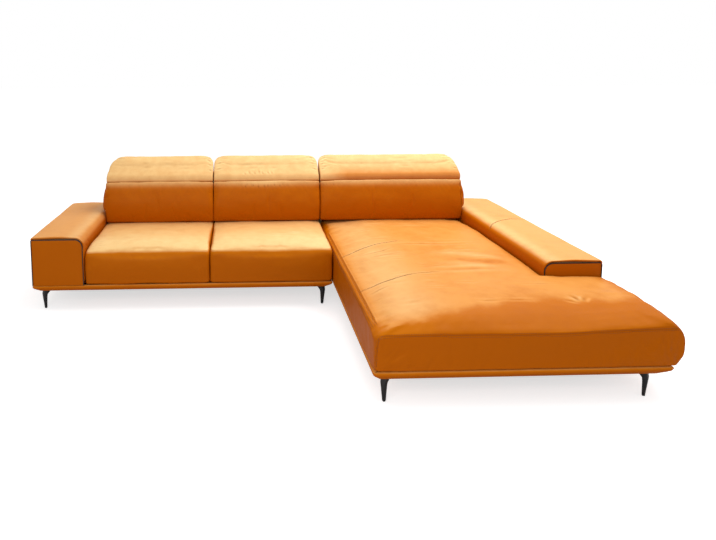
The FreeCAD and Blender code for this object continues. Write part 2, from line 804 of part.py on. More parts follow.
def bracket_sweep(x, half, travel):
    """The fan that the fixed bracket passes through, seen from the turning headrest."""
    foot_y = back_rear + soft_gap + 20
    reach = math.degrees(math.atan2(bracket_base() - pivot_height, foot_y - pivot_y))
    first = math.radians(reach + headrest_lean - travel - bracket_room)
    last = math.radians(reach + headrest_lean + bracket_room)
    radius = headrest_thickness * 1.5
    steps = 8
    points = [V(x - half, 0, 0)]
    for i in range(steps + 1):
        angle = first + (last - first) * i / steps
        points.append(V(x - half, radius * math.cos(angle), radius * math.sin(angle)))
    points.append(points[0])
    return prism(Part.makePolygon(points), V(2 * half, 0, 0))


def headrest_unit(side, x0, x1):
    places = [x0 + hinge_inset, x1 - hinge_inset]
    depth, low, high = board_span()
    pockets = [hinge_pocket(x, headrest_travel) for x in places]
    board = box(x0 + 60, x1 - 60, depth, depth + board_thickness, low, high)
    board_room = box(x0 + 60 - 0.5, x1 - 60 + 0.5, depth, depth + board_thickness + 0.5, low - 0.5, high + 0.5)
    outer = headrest_form(x0, x1, 0.0)
    cover = outer.cut(headrest_form(x0, x1, cover_wall)).cut(group(pockets))
    foam = headrest_form(x0, x1, cover_wall + soft_gap).cut(board_room).cut(group(pockets))
    keep("headrest_cover_" + side, lean_back(cover))
    keep("headrest_foam_" + side, lean_back(foam))
    keep("headrest_board_" + side, lean_back(board))
    keep("hinge_brackets_" + side, group([hinge_bracket(x) for x in places]))
    keep("hinge_arms_" + side, lean_back(group([hinge_arm(x) for x in places])))
    keep("hinge_pins_" + side, lean_back(group([hinge_pin(x) for x in places])))
    base = bracket_base() + hinge_plate
    front = back_rear + soft_gap
    return [(x + s, front + 14, base, -1) for x in places for s in (-14, 14)]


def build():
    seat_unit("left", arm_width, seam_left)
    seat_unit("middle", seam_left, split - joint_gap / 2)
    chaise_unit()
    arm_unit("left", 0.0, lambda shape: shape)
    arm_unit("right", right_arm_reach, mirrored)
    screws = base_unit()
    back_skins()
    spans = (("left", arm_width, seam_left, (-1,)), ("middle", seam_left, split - joint_gap / 2, ()),
             ("right", split + joint_gap / 2, chaise_right, (1,)))
    for side, x0, x1, ears in spans:
        back_unit(side, x0 + soft_gap, x1 - soft_gap, ears)
        screws += headrest_unit(side, x0 + headrest_end_gap, x1 - headrest_end_gap)
    drilled = ["plinth_sofa", "plinth_chaise", "legs", "section_connectors", "back_frame_sofa", "back_frame_chaise"]
    drilled += ["hinge_brackets_" + span[0] for span in spans]
    drill(drilled, screws)
    keep("screws", group([screw(*place) for place in screws]))


build()
os.makedirs("parts", exist_ok=True)
for name, shape in made.items():
    shape.translate(origin_shift)
    shape.exportStep("parts/" + name + ".step")
    solids = shape.Solids
    print(name, len(solids), "solids", round(shape.Volume / 1000), "cm3", "valid", shape.isValid())
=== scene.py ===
# %% [markdown]
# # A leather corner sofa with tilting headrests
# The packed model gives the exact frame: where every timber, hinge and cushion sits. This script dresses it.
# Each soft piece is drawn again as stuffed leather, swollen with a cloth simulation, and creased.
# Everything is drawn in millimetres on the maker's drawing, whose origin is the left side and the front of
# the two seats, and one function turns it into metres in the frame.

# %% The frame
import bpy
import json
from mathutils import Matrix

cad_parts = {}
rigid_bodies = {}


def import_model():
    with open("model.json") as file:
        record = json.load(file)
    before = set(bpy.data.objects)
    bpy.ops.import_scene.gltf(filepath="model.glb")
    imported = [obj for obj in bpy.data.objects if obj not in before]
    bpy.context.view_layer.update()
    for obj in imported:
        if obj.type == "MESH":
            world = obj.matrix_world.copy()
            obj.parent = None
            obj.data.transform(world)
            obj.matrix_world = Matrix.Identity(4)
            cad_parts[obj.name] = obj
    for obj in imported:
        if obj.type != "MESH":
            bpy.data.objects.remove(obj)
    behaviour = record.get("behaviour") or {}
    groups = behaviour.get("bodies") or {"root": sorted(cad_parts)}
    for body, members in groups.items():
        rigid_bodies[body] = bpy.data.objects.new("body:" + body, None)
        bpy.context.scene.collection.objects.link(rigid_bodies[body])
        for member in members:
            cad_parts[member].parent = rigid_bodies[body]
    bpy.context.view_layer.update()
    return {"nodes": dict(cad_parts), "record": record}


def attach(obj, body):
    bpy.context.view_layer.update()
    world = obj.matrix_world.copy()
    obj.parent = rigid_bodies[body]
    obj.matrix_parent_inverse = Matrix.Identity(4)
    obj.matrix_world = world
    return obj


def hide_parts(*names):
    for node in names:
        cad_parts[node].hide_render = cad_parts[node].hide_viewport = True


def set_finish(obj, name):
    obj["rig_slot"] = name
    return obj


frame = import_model()

import json
import math
import random
import bmesh
import bpy
import numpy as np
from mathutils import Matrix, Vector, noise
from mathutils.bvhtree import BVHTree

# %% [markdown]
# ## Sizes of the drawing
# A dressed piece has to sit where its solid sits, so the main sizes are the same as in the part's source.

# %% Sizes in millimetres
ARM, SEAT, CHAISE = 320.0, 765.0, 1030.0
SEAM = ARM + SEAT
SPLIT = ARM + 2 * SEAT
CHAISE_RIGHT = SPLIT + CHAISE
WIDTH = CHAISE_RIGHT + ARM
DEPTH, REACH, ARM_REACH = 1000.0, 1210.0, 600.0
BASE, ARM_TOP, PAD = 155.0, 462.0, 16.0
PIVOT_Y, PIVOT_Z, LEAN = 745.0, 684.0, math.radians(-56)
SPANS = {"left": (ARM, SEAM), "middle": (SEAM, SPLIT - 0.5), "right": (SPLIT + 0.5, CHAISE_RIGHT)}
SHIFT = Vector((-(WIDTH + 50) / 2000, (REACH - DEPTH) / 2000, 0))


def spot(x, y, z):
    """A place on the drawing, in millimetres, as metres in the frame."""
    return Vector((x, y, z)) / 1000 + SHIFT


print("the left arm starts at", tuple(round(v, 3) for v in spot(0, 0, BASE)))

# %% [markdown]
# ## Outlines and skins
# A cushion's shape is a row of outlines, each a polygon whose corners are rounded by arcs. The bridge
# operator joins every outline to the next, as a pattern cutter joins panels, and the last step closes the
# two ends.

# %% Rounded outlines


def rounded(corners, steps=6):
    """Points along a closed outline of (a, b, radius) corners, each rounded by an arc."""
    count = len(corners)
    points = [Vector(corner[:2]) for corner in corners]
    ways, halves, reaches = [], [], []
    for i in range(count):
        before = (points[i - 1] - points[i]).normalized()
        after = (points[(i + 1) % count] - points[i]).normalized()
        ways.append((before, after))
        halves.append(math.acos(max(-1.0, min(1.0, before.dot(after)))) / 2)
        reaches.append(corners[i][2] / math.tan(halves[i]))
    for i in range(count):
        after = (i + 1) % count
        room = 0.99 * (points[after] - points[i]).length / (reaches[i] + reaches[after])
        if room < 1:
            reaches[i] *= room
            reaches[after] *= room
    outline = []
    for i, (before, after) in enumerate(ways):
        radius = reaches[i] * math.tan(halves[i])
        centre = points[i] + (before + after).normalized() * radius / math.sin(halves[i])
        first = points[i] + before * reaches[i] - centre
        last = points[i] + after * reaches[i] - centre
        sweep = math.pi - 2 * halves[i]
        for step in range(steps + 1):
            share = step / steps
            a = math.sin((1 - share) * sweep) / math.sin(sweep)
            b = math.sin(share * sweep) / math.sin(sweep)
            outline.append(centre + first * a + last * b)
    return outline


def inset(corners, distance):
    """Move every side of a clockwise outline inwards by one distance."""
    moved = []
    for i, (x, y, radius) in enumerate(corners):
        before, after = corners[i - 1], corners[(i + 1) % len(corners)]
        first = Vector((x - before[0], y - before[1])).normalized()
        second = Vector((after[0] - x, after[1] - y)).normalized()
        n1, n2 = Vector((first.y, -first.x)), Vector((second.y, -second.x))
        move = (n1 + n2) * distance / (1 + n1.dot(n2))
        moved.append((x + move.x, y + move.y, max(radius - distance, 1.0)))
    return moved


print("a square with round corners has", len(rounded([(0, 0, 1), (0, 9, 1), (9, 9, 1), (9, 0, 1)])), "points")

# %% Skins over rows of points


def skin(rows, closed=True, capped=True):
    """A mesh over rows of points: each row is bridged to the next one."""
    bm = bmesh.new()
    loops = []
    for row in rows:
        verts = [bm.verts.new(point) for point in row]
        start = 0 if closed else 1
        loops.append([bm.edges.new((verts[i - 1], verts[i])) for i in range(start, len(verts))])
    for one, two in zip(loops, loops[1:]):
        bmesh.ops.bridge_loops(bm, edges=one + two)
    if capped:
        for end in (loops[0], loops[-1]):
            bmesh.ops.edgeloop_fill(bm, edges=end)
        bmesh.ops.recalc_face_normals(bm, faces=bm.faces)
    return bm


def face_out(bm, centre):
    """Turn an open sheet's faces so that they look away from a point inside the piece."""
    bm.normal_update()
    score = sum((face.calc_center_median() - centre).dot(face.normal) * face.calc_area() for face in bm.faces)
    if score < 0:
        bmesh.ops.reverse_faces(bm, faces=bm.faces)


def add_form(bm, other):
    """Add a second form to a bmesh."""
    extra = bpy.data.meshes.new("extra")
    other.to_mesh(extra)
    other.free()
    bm.from_mesh(extra)


print("skins, sheets and joined forms are ready")

# %% Pieces and their modifiers


def placed(name, data):
    """A new object of a mesh, lamp, curve or camera, in the scene."""
    thing = bpy.data.objects.new(name, data)
    bpy.context.scene.collection.objects.link(thing)
    return thing


def smooth(mesh):
    """Shade every face of a mesh smoothly."""
    mesh.polygons.foreach_set("use_smooth", [True] * len(mesh.polygons))
    return mesh


def piece(name, bm):
    """A finished bmesh as an object."""
    mesh = bpy.data.meshes.new(name)
    bm.to_mesh(mesh)
    bm.free()
    return placed(name, smooth(mesh))


def evaluated(thing):
    """A new mesh of a thing with its modifiers applied."""
    bpy.context.view_layer.update()
    return bpy.data.meshes.new_from_object(thing.evaluated_get(bpy.context.evaluated_depsgraph_get()))


def settle(thing):
    """Apply every modifier of a piece to its mesh."""
    mesh = smooth(evaluated(thing))
    thing.modifiers.clear()
    old, thing.data = thing.data, mesh
    bpy.data.meshes.remove(old)
    return thing


def smoother(thing, levels):
    """Add a Subdivision Surface and apply it."""
    modifier = thing.modifiers.new("smoother", "SUBSURF")
    modifier.levels = modifier.render_levels = levels
    return settle(thing)


def even_skin(thing, size):
    """Remesh a closed form into even squares, so that cloth and creases have room to form."""
    modifier = thing.modifiers.new("even", "REMESH")
    modifier.mode = "VOXEL"
    modifier.voxel_size = size
    return settle(thing)


print("piece, settle, smoother and even_skin are ready")

# %% [markdown]
# ## Paint
# Shader maths reads like ordinary sums: a small class wraps one socket, and each operator adds a Math node.
# A paint is one material with one method that adds any other node.

# %% Sockets that add and multiply


class Value:
    """A number that varies over a surface."""

    def __init__(self, paint, socket):
        self.paint, self.socket = paint, socket

    def join(self, operation, first, second):
        """Add a Math node over two values or numbers."""
        return self.paint.node("Math", {"operation": operation}, {0: first, 1: second})

    def __add__(self, other):
        return self.join("ADD", self, other)

    def __radd__(self, other):
        return self.join("ADD", other, self)

    def __sub__(self, other):
        return self.join("SUBTRACT", self, other)

    def __rsub__(self, other):
        return self.join("SUBTRACT", other, self)

    def __mul__(self, other):
        return self.join("MULTIPLY", self, other)

    def __rmul__(self, other):
        return self.join("MULTIPLY", other, self)


print("values add, subtract and multiply, also with a number in front")

# %% A paint and its nodes


class Paint:
    """A material and its nodes."""

    def __init__(self, name):
        self.material = bpy.data.materials.new(name)
        self.material.use_nodes = True
        self.tree = self.material.node_tree
        self.shader = self.tree.nodes["Principled BSDF"]

    def node(self, kind, settings, inputs, out=0):
        """Add any node: its type, its settings, then the values or links of its sockets."""
        node = self.tree.nodes.new("ShaderNode" + kind)
        for key, item in settings.items():
            setattr(node, key, item)
        for key, item in inputs.items():
            self.feed(node.inputs[key], item)
        return Value(self, node.outputs[out])

    def feed(self, socket, item):
        if isinstance(item, Value):
            self.tree.links.new(item.socket, socket)
        else:
            socket.default_value = item

    def mix(self, share, first, second):
        """Blend two colours."""
        return self.node("Mix", {"data_type": "RGBA"}, {0: share, 6: first, 7: second}, out=2)

    def ramp(self, value, low, high):
        """Spread the part of a value between low and high over 0 to 1, softly."""
        return self.node("MapRange", {"interpolation_type": "SMOOTHSTEP"}, {0: value, 1: low, 2: high})

    def noise(self, place, scale, detail=3.0, roughness=0.5):
        """Soft random clouds."""
        inputs = {"Vector": place, "Scale": scale, "Detail": detail, "Roughness": roughness}
        return self.node("TexNoise", {}, inputs)

    def place(self, out="Object"):
        """Where a point lies on its piece, or which way it faces."""
        return self.node("TexCoord", {}, {}, out=out)

    def stretch(self, place, scale):
        """Scale a place by another amount along each axis."""
        return self.node("Mapping", {}, {"Vector": place, "Scale": scale})

    def bump(self, height, distance, strength=1.0, under=None):
        """Relief from a height, over another relief if one is given."""
        inputs = {"Height": height, "Distance": distance, "Strength": strength}
        if under:
            inputs["Normal"] = under
        return self.node("Bump", {}, inputs)

    def finish(self, **sockets):
        """Set or link sockets of the shader by name, with underscores for spaces."""
        for name, item in sockets.items():
            self.feed(self.shader.inputs[name.replace("_", " ")], item)
        return self.material


print("a paint has these methods:", [key for key in vars(Paint) if not key.startswith("_")])

# %% Colours


def tint(red, green, blue):
    """A colour as a picture editor gives it, 0 to 255, in the linear values that a shader reads."""
    shares = (red / 255, green / 255, blue / 255)
    return (*[c / 12.92 if c <= 0.04045 else ((c + 0.055) / 1.055) ** 2.4 for c in shares], 1.0)


print("a middle grey is", tuple(round(part, 3) for part in tint(128, 128, 128)))

# %% [markdown]
# ## Leather
# Semi-aniline leather isn't one orange, and this colour also holds painted light and shade: parts that face
# up are painted lighter and parts that face sideways or down darker, as the light falls on them; creases
# carry painted shade, and tops, lips and ridges a painted sheen. So the colour follows three things: which
# way the hide faces, a soft mottling, and the creases, which every cushion carries as an attribute.

# %% The cover leather


def leather(name, deep, middle, light, pale):
    """A hide from its deepest painted shade to its palest painted sheen."""
    paint = Paint(name)
    place = paint.place()
    # Which way the hide faces paints light and shade into the colour: tops lighter, sides and undersides
    # darker.
    up = paint.node("SeparateXYZ", {}, {0: paint.place("Normal")}, out="Z")
    clouds = paint.noise(place, 3.2, 4.0, 0.6)
    blotches = paint.noise(place, 17.0, 3.0, 0.6)
    # The attribute read here holds a painted sheen above 0 and painted shade below 0.
    wear_and_painted_light = paint.node("Attribute", {"attribute_name": "rub"}, {}, out="Fac")
    painted_shade = paint.node("Math", {"operation": "MINIMUM"}, {0: wear_and_painted_light, 1: 0.0})
    level = up + (clouds - 0.5) * 0.34 + (blotches - 0.5) * 0.2 + painted_shade
    # Painted shade and light: the deep tone where the hide faces sideways or down, the light tone where it
    # faces up.
    colour = paint.mix(paint.ramp(level, -0.05, 0.8), deep, middle)
    colour = paint.mix(paint.ramp(level, 0.72, 1.06), colour, light)
    grain = paint.node("TexVoronoi", {"feature": "SMOOTH_F1"},
                       {"Vector": place, "Scale": 420.0, "Smoothness": 0.5})
    lines = paint.noise(paint.stretch(place, (1.0, 2.2, 1.0)), 55.0, 5.0, 0.62)
    height = paint.bump(grain, 0.0004, 0.5)
    height = paint.bump(lines, 0.0016, 0.42, under=height)
    crease = paint.node("Attribute", {"attribute_name": "crease"}, {}, out="Fac")
    # A painted sheen, then painted shade: a dark tone in the creases.
    colour = paint.mix(wear_and_painted_light * (0.7 + blotches * 0.6), colour, pale)
    colour = paint.mix(paint.ramp(crease, 0.02, 1.0) * 0.75, colour, tint(96, 38, 0))
    rough = 0.44 + (blotches - 0.5) * 0.16 + crease * 0.2
    return paint.finish(Base_Color=colour, Roughness=rough, Normal=height, Specular_IOR_Level=0.05)


# The tones: shaded sides, a middle tone, lit tops and a painted sheen.
COVER = leather("cover_leather", tint(178, 88, 0), tint(204, 112, 4), tint(232, 156, 74), tint(250, 211, 146))
DARK_SEAM = Paint("seam_thread")
stripe = DARK_SEAM.noise(DARK_SEAM.place(), 900.0)
THREAD_COLOUR = DARK_SEAM.mix(stripe, tint(104, 50, 8), tint(150, 78, 20))
SEAM_PAINT = DARK_SEAM.finish(Base_Color=THREAD_COLOUR, Roughness=0.7)
print("leather:", COVER.name)


# %% The dark piping leather
def dark_leather():
    """The nearly black hide of the piping; its near-black tone also stands in for the shadow under the pad's
    lip.
    """
    paint = Paint("piping_leather")
    place = paint.place()
    grain = paint.noise(place, 300.0, 3.0)
    colour = paint.mix(paint.noise(place, 30.0), tint(30, 12, 4), tint(58, 26, 10))
    return paint.finish(Base_Color=colour, Roughness=0.38 + grain * 0.15,
                        Normal=paint.bump(grain, 0.0004, 0.5))


PIPING = dark_leather()
print("piping:", PIPING.name)

# %% [markdown]
# ## Stuffing with cloth
# A leather cushion swells between its seams. Each form is drawn a little small, remeshed into even squares,
# held where it is sewn or rests on something, and inflated by the cloth simulation for twenty frames.
# The travel of every point is then limited, so that the cushion still fits its place.

# %% Points as arrays


def as_array(mesh, field="co"):
    """The places or normals of a mesh's points, one row each."""
    values = np.empty(len(mesh.vertices) * 3, np.float32)
    mesh.vertices.foreach_get(field, values)
    return values.reshape(-1, 3)


def on_drawing(points):
    """Metres in the frame back to millimetres on the drawing, for a whole array."""
    return (points - np.array(SHIFT, np.float32)) * 1000


print("the frame's origin lies on the drawing at", on_drawing(np.zeros((1, 3), np.float32))[0].tolist())

# %% Cloth
PRESSURE, FRAMES = 4.0, 20


def stuff(thing, held, slack):
    """Add a cloth that swells thing.

    held gives, for drawing coordinates, how firmly each point is sewn down; slack is the leather's give.
    """
    weights = np.clip(held(*on_drawing(as_array(thing.data)).T), 0, 1)
    group = thing.vertex_groups.new(name="sewn")
    for level in (0.25, 0.5, 0.75, 1.0):
        chosen = np.where((weights > level - 0.25) & (weights <= level))[0]
        group.add([int(i) for i in chosen], level, "REPLACE")
    cloth = thing.modifiers.new("stuffing", "CLOTH")
    rules = cloth.settings
    rules.quality, rules.mass = 4, 0.4
    rules.tension_stiffness = rules.compression_stiffness = 12
    rules.shear_stiffness, rules.bending_stiffness = 6, 1.2
    rules.use_pressure, rules.uniform_pressure_force = True, PRESSURE
    rules.shrink_min = -slack
    rules.vertex_group_mass = "sewn"
    rules.effector_weights.gravity = 0
    cloth.collision_settings.use_collision = False
    cloth.point_cache.frame_start, cloth.point_cache.frame_end = 1, FRAMES


def swell(things, travel):
    """Run every cloth together, then limit how far each point has moved."""
    starts = {thing.name: as_array(thing.data) for thing in things}
    for number in range(1, FRAMES + 1):
        bpy.context.scene.frame_set(number)
    for thing in things:
        start = starts[thing.name]
        settle(thing)
        moved = as_array(thing.data) - start
        length = np.linalg.norm(moved, axis=1, keepdims=True)
        limit = travel[thing.name] / 1000
        eased = limit * np.tanh(length / limit) / np.maximum(length, 1e-9)
        thing.data.vertices.foreach_set("co", (start + moved * eased).ravel())
        thing.data.update()
        print(thing.name, "moved up to", round(float(length.max()) * 1000, 1), "mm")
    bpy.context.scene.frame_set(1)


print("stuff and swell are ready")

# %% [markdown]
# ## Creases
# A crease is a soft groove with a low ridge on each side. Its line is drawn roughly and laid onto the
# surface, then every nearby point is pushed along its normal. The same distance fills two attributes that the
# leather reads: one paints shade dark in the groove, the other paints a highlight on the ridges.

# %% Lines laid on a surface


def surface_of(thing):
    """A tree that finds the nearest place on a piece."""
    mesh = thing.data
    verts = [v.co.copy() for v in mesh.vertices]
    return BVHTree.FromPolygons(verts, [tuple(p.vertices) for p in mesh.polygons])


def lay(tree, points, step=8.0):
    """A drawn line laid onto a surface, as points about one step apart, in metres."""
    line = []
    for first, last in zip(points, points[1:]):
        a, b = spot(*first), spot(*last)
        count = max(1, round((b - a).length * 1000 / step))
        line += [a.lerp(b, i / count) for i in range(count)]
    line.append(spot(*points[-1]))
    return [tree.find_nearest(point)[0] for point in line]


def distance_to(co, line):
    """Distance of every point of an array to a line, and how far along the line it lies, from 0 to 1."""
    best = np.full(len(co), 1e9, np.float32)
    along = np.zeros(len(co), np.float32)
    count = max(len(line) - 1, 1)
    for i in range(len(line) - 1):
        a, b = np.array(line[i], np.float32), np.array(line[i + 1], np.float32)
        side = b - a
        share = np.clip(((co - a) @ side) / max(float(side @ side), 1e-12), 0, 1)
        reach = np.linalg.norm(co - a - share[:, None] * side, axis=1)
        closer = reach < best
        best[closer] = reach[closer]
        along[closer] = ((i + share) / count)[closer]
    return best, along


reach, share = distance_to(np.zeros((1, 3), np.float32), [(-1, 1, 0), (1, 1, 0)])
print("the origin is", float(reach[0]), "from a line beside it, at share", float(share[0]))

# %% Pressing creases


def press(thing, lines, sheen_and_shade=None):
    """Press creases into a piece. A line is (points, width, depth, ridge, taper), sizes in millimetres.

    The third argument gives, for drawing coordinates and how far a point faces up, how much painted sheen a
    point carries, from 0 to 1. Below 0 it says how much painted shade darkens it.
    """
    mesh = thing.data
    tree = surface_of(thing)
    co, normal = as_array(mesh), as_array(mesh, "normal")
    crease, rub = np.zeros(len(co), np.float32), np.zeros(len(co), np.float32)
    if sheen_and_shade:
        rub = sheen_and_shade(*on_drawing(co).T, normal[:, 2]).astype(np.float32)
    facing = np.clip((normal[:, 2] - 0.5) / 0.4, 0, 1)
    push = np.zeros(len(co), np.float32)
    for points, width, depth, ridge, taper in lines:
        line = lay(tree, points)
        low = np.min([p[:] for p in line], axis=0) - width * 0.006
        high = np.max([p[:] for p in line], axis=0) + width * 0.006
        near = np.where(np.all((co > low) & (co < high), axis=1))[0]
        if len(near) == 0:
            continue
        reach, along = distance_to(co[near], line)
        scale = reach / (width / 1000)
        ends = np.clip(np.minimum(along, 1 - along) / max(taper, 1e-6), 0, 1) if taper else 1.0
        groove = np.exp(-scale ** 2) * ends
        hump = np.exp(-((scale - 1.9) ** 2) / 0.7) * ends
        push[near] += (-depth * groove + ridge * hump) / 1000
        strength = min(1.0, abs(depth) / 4.0) * min(1.0, 10 / width)
        # Painted shade in each groove, and a painted highlight on the ridges that face up.
        crease[near] = np.maximum(crease[near], groove * strength * (depth > 0))
        rub[near] += hump * min(0.4, ridge / 5) * facing[near]
    push = np.clip(push, -0.012, 0.012)
    mesh.vertices.foreach_set("co", (co + normal * push[:, None]).ravel())
    for name, values in (("crease", crease), ("rub", rub)):
        store = mesh.attributes.new(name, "FLOAT", "POINT")
        store.data.foreach_set("value", values)
    mesh.update()


print("press is ready")

# %% Soft waves


def undulate(thing, height, size, seed):
    """Push a piece in and out by soft noise, height and size in millimetres."""
    mesh = thing.data
    co, normal = as_array(mesh), as_array(mesh, "normal")
    where = Vector((seed * 7.3, seed * 3.1, seed * 5.7))
    wave = np.array([noise.noise(Vector(p) * (1000 / size) + where) for p in co.tolist()], np.float32)
    mesh.vertices.foreach_set("co", (co + normal * (wave * height / 1000)[:, None]).ravel())
    mesh.update()


print("undulate is ready")

# %% [markdown]
# ## Seats
# Each seat is one fat cushion: a front that bulges over the base board, a top edge with a broad round, a low
# crown, and ends that are drawn in to the seams. It is held at its underside, its rear and its two ends.

# %% Seat forms
SEAT_SKIN, CHAISE_SKIN, BACK_SKIN, HEADREST_SKIN = 0.009, 0.010, 0.008, 0.0075  # sizes of the even squares
HEM, EDGE_GAP, PINCH = 3.0, 0.8, 4.0
END_STEPS = ((0, 1.0), (4, 0.66), (12, 0.36), (26, 0.15), (60, 0.04), (120, 0.0))
CROWN = ((0.32, -0.1), (0.5, -0.15), (0.68, -0.1))


def crosswise(x0, x1, steps, middle):
    """Places along a cushion and how far each outline is drawn in there."""
    left = [(x0 + step, draw) for step, draw in steps]
    right = [(x1 - step, draw) for step, draw in reversed(steps)]
    return left + [(x0 + (x1 - x0) * share, draw) for share, draw in middle] + right


def form_across(outline, places):
    """A form over outlines that stand side by side, one at each (x, draw)."""
    return skin([[spot(x, p.x, p.y) for p in rounded(inset(outline(draw), HEM))] for x, draw in places])


def seat_outline(draw):
    """A seat from the side; draw is 1 where its end is sewn, 0 where it is full."""
    pull, drop = 14 * draw, 36 * draw
    edge, level = 356 - 0.45 * drop, 380 - 0.3 * max(drop, 0)
    return [(4 + pull, BASE, 5), (-3 + pull, (BASE + edge) / 2, 190), (9 + pull, edge + 10, 44),
            (150, 392 - drop, 240), (402, 390 - drop, 500), (628, level, 200), (798, level, 12),
            (798, BASE, 5)]


def seat(side, x0, x1):
    """One seat cushion with its cloth, sewn at its underside, rear and ends."""
    first = x0 - PINCH + EDGE_GAP if side == "left" else x0 + EDGE_GAP
    form = form_across(seat_outline, crosswise(first, x1 - EDGE_GAP, END_STEPS, CROWN))
    thing = even_skin(piece("seat_cushion_" + side, form), SEAT_SKIN)

    def held(x, y, z):
        sides = np.minimum(x - first, x1 - x)
        return np.maximum.reduce([1.15 - sides / 45, 1.2 - (z - BASE) / 40, (y - 690) / 30])
    stuff(thing, held, slack=0.001)
    return thing


seats = {side: seat(side, *SPANS[side]) for side in ("left", "middle")}
print("seats:", [len(thing.data.vertices) for thing in seats.values()], "points")

# %% [markdown]
# ## Chaise
# The long cushion runs from the back to the front and widens in front of the right arm. Its front rolls down
# to a seam over a large round, and its right end swells out beyond the base board.

# %% The chaise form
ROLL_STEPS = ((0, 1.0, 1.0), (7, 0.55, 0.84), (26, 0.2, 0.68), (60, 0.05, 0.5), (110, 0, 0.31),
              (180, 0, 0.14), (300, -0.1, 0))
NARROW_STEPS = ((-655, 0.0), (-300, -0.1), (348, -0.05), (528, 0.18), (638, 0.44), (796, 0.44))
STEP_Y = -612


def chaise_outline(wide, draw, drop):
    """The chaise from the front, its top lowered by drop; wide is its part in front of the right arm."""
    pull, top = 14 * draw, 360
    outline = [(SPLIT + EDGE_GAP + pull, BASE, 5), (SPLIT + EDGE_GAP + pull, top - 0.5 * drop, 40),
               (SPLIT + 330, top + 36 - drop, 900), (CHAISE_RIGHT - 150, top + 28.8 - 0.9 * drop, 900)]
    if wide:
        return outline + [(WIDTH + 2, 385 - 0.5 * drop, 60), (WIDTH + 70 - pull, 308 - 0.2 * drop, 90),
                          (WIDTH + 66 - pull, 200, 60), (WIDTH + 24 - pull, BASE, 8)]
    return outline + [(CHAISE_RIGHT - EDGE_GAP, 382 - drop, 10), (CHAISE_RIGHT - EDGE_GAP, BASE, 5)]


def part_way(value, start, reach):
    """0 before start, 1 after start + reach, and a straight slope between."""
    return min(1, max(0, (value - start) / reach))


print("the chaise's front roll has", len(ROLL_STEPS), "outlines and its rear part", len(NARROW_STEPS))

# %% The chaise, swollen at its right end


def form_along(wide, places):
    """A form of the chaise over outlines one behind the other, one at each (y, draw, drop)."""
    return skin([[spot(p.x, y, p.y) for p in rounded(inset(chaise_outline(wide, draw, drop), HEM))]
                 for y, draw, drop in places])


def chaise():
    """The long cushion with its cloth: a wide part in front of a narrow one, made one by the remesh."""
    steps = [(reach - REACH + HEM, draw, 76 * share) for reach, draw, share in ROLL_STEPS] + [(STEP_Y, 0, 0)]
    wide = form_along(True, steps)
    add_form(wide, form_along(False, [(y, draw, 36 * draw) for y, draw in NARROW_STEPS]))
    for vert in wide.verts:
        x, y, z = (vert.co - SHIFT) * 1000
        front = part_way(x, 2100, 500) * part_way(-y, 900, 240) * part_way(z, 300, 60)
        vert.co.z -= 0.013 * front * part_way(-x, -3150, 200)
        vert.co.z -= 0.009 * part_way(x, 3050, 120) * part_way(y, -900, 280) * (z > 330)
    thing = even_skin(piece("chaise_cushion", wide), CHAISE_SKIN)

    def held(x, y, z):
        left, under, rear = 1.3 - (x - SPLIT) / 9, 1.2 - (z - BASE) / 10, (y - 690) / 30
        arm = np.where(y > STEP_Y, 1.2 - (CHAISE_RIGHT - x) / 12, 0)
        step = np.where(x > CHAISE_RIGHT - 4, 1.2 - (STEP_Y - y) / 10, 0)
        return np.maximum.reduce([left, under, rear, arm, step])
    stuff(thing, held, slack=0.008)
    return thing


long_seat = chaise()
print("chaise:", len(long_seat.data.vertices), "points")

# %% [markdown]
# ## Back cushions
# A back cushion leans from the seat to a lip under its headrest. The outer ones swell over the top of the arm
# beside them.

# %% Back forms
EAR = 24.0
EAR_STEPS = ((0, 0), (0.5, 0.5), (0.85, 1.8), (1.0, 3.2))


def back_outline(draw):
    """A back cushion from the side."""
    pull = 12 * draw
    return [(662 + pull, 380.5, 26), (640 + pull, 490, 300), (678 + pull, 638, 160),
            (690 + pull / 2, 684 - 6 * draw, 10), (751, 627, 20), (848, 627, 6), (848, 380.5, 6)]


def ear_outline(draw):
    """The part of a back cushion that swells over an arm, from the side."""
    pull, low = 12 * draw, 465.5
    return [(660 + pull, low + pull * 0.3, 26), (672 + pull, 656 - pull, 60), (808 - pull, 634 - pull, 20),
            (840 - pull, low + pull * 0.3, 10)]


def back(side, ears):
    """One back cushion with its cloth; an ear is the end that swells over an arm, -1 left and 1 right."""
    x0, x1 = SPANS[side]
    form = form_across(back_outline, crosswise(x0 + EDGE_GAP, x1 - EDGE_GAP, END_STEPS, CROWN))
    for direction in ears:
        edge = x0 if direction < 0 else x1
        rows = []
        for reach, draw in EAR_STEPS:
            row = []
            for p in rounded(inset(ear_outline(draw), 2.0)):
                out = reach * EAR * min(1, max(0.1, (672 - p.y) / 130)) ** 0.7 - 8 * (1 - reach)
                row.append(spot(edge + direction * out, p.x, p.y))
            rows.append(row)
        add_form(form, skin(rows))
    thing = even_skin(piece("back_cushion_" + side, form), BACK_SKIN)

    def held(x, y, z):
        lip = np.maximum((z - 655) / 12, np.where(z > 600, (y - 708) / 10, 0))
        sides = np.minimum(x - x0, x1 - x)
        ends = np.where(z < 462, 1.3 - sides / 9, 0)
        for edge, sign in ((x0, -1), (x1, 1)):
            if sign not in ears:
                ends = np.maximum(ends, 1.3 - np.abs(x - edge) / 9)
        return np.maximum.reduce([lip, ends, 1.3 - (z - 380) / 9, (y - 830) / 10])
    stuff(thing, held, slack=0.006)
    return thing


backs = {"left": back("left", (-1,)), "middle": back("middle", ()), "right": back("right", (1,))}
print("backs:", [len(thing.data.vertices) for thing in backs.values()], "points")

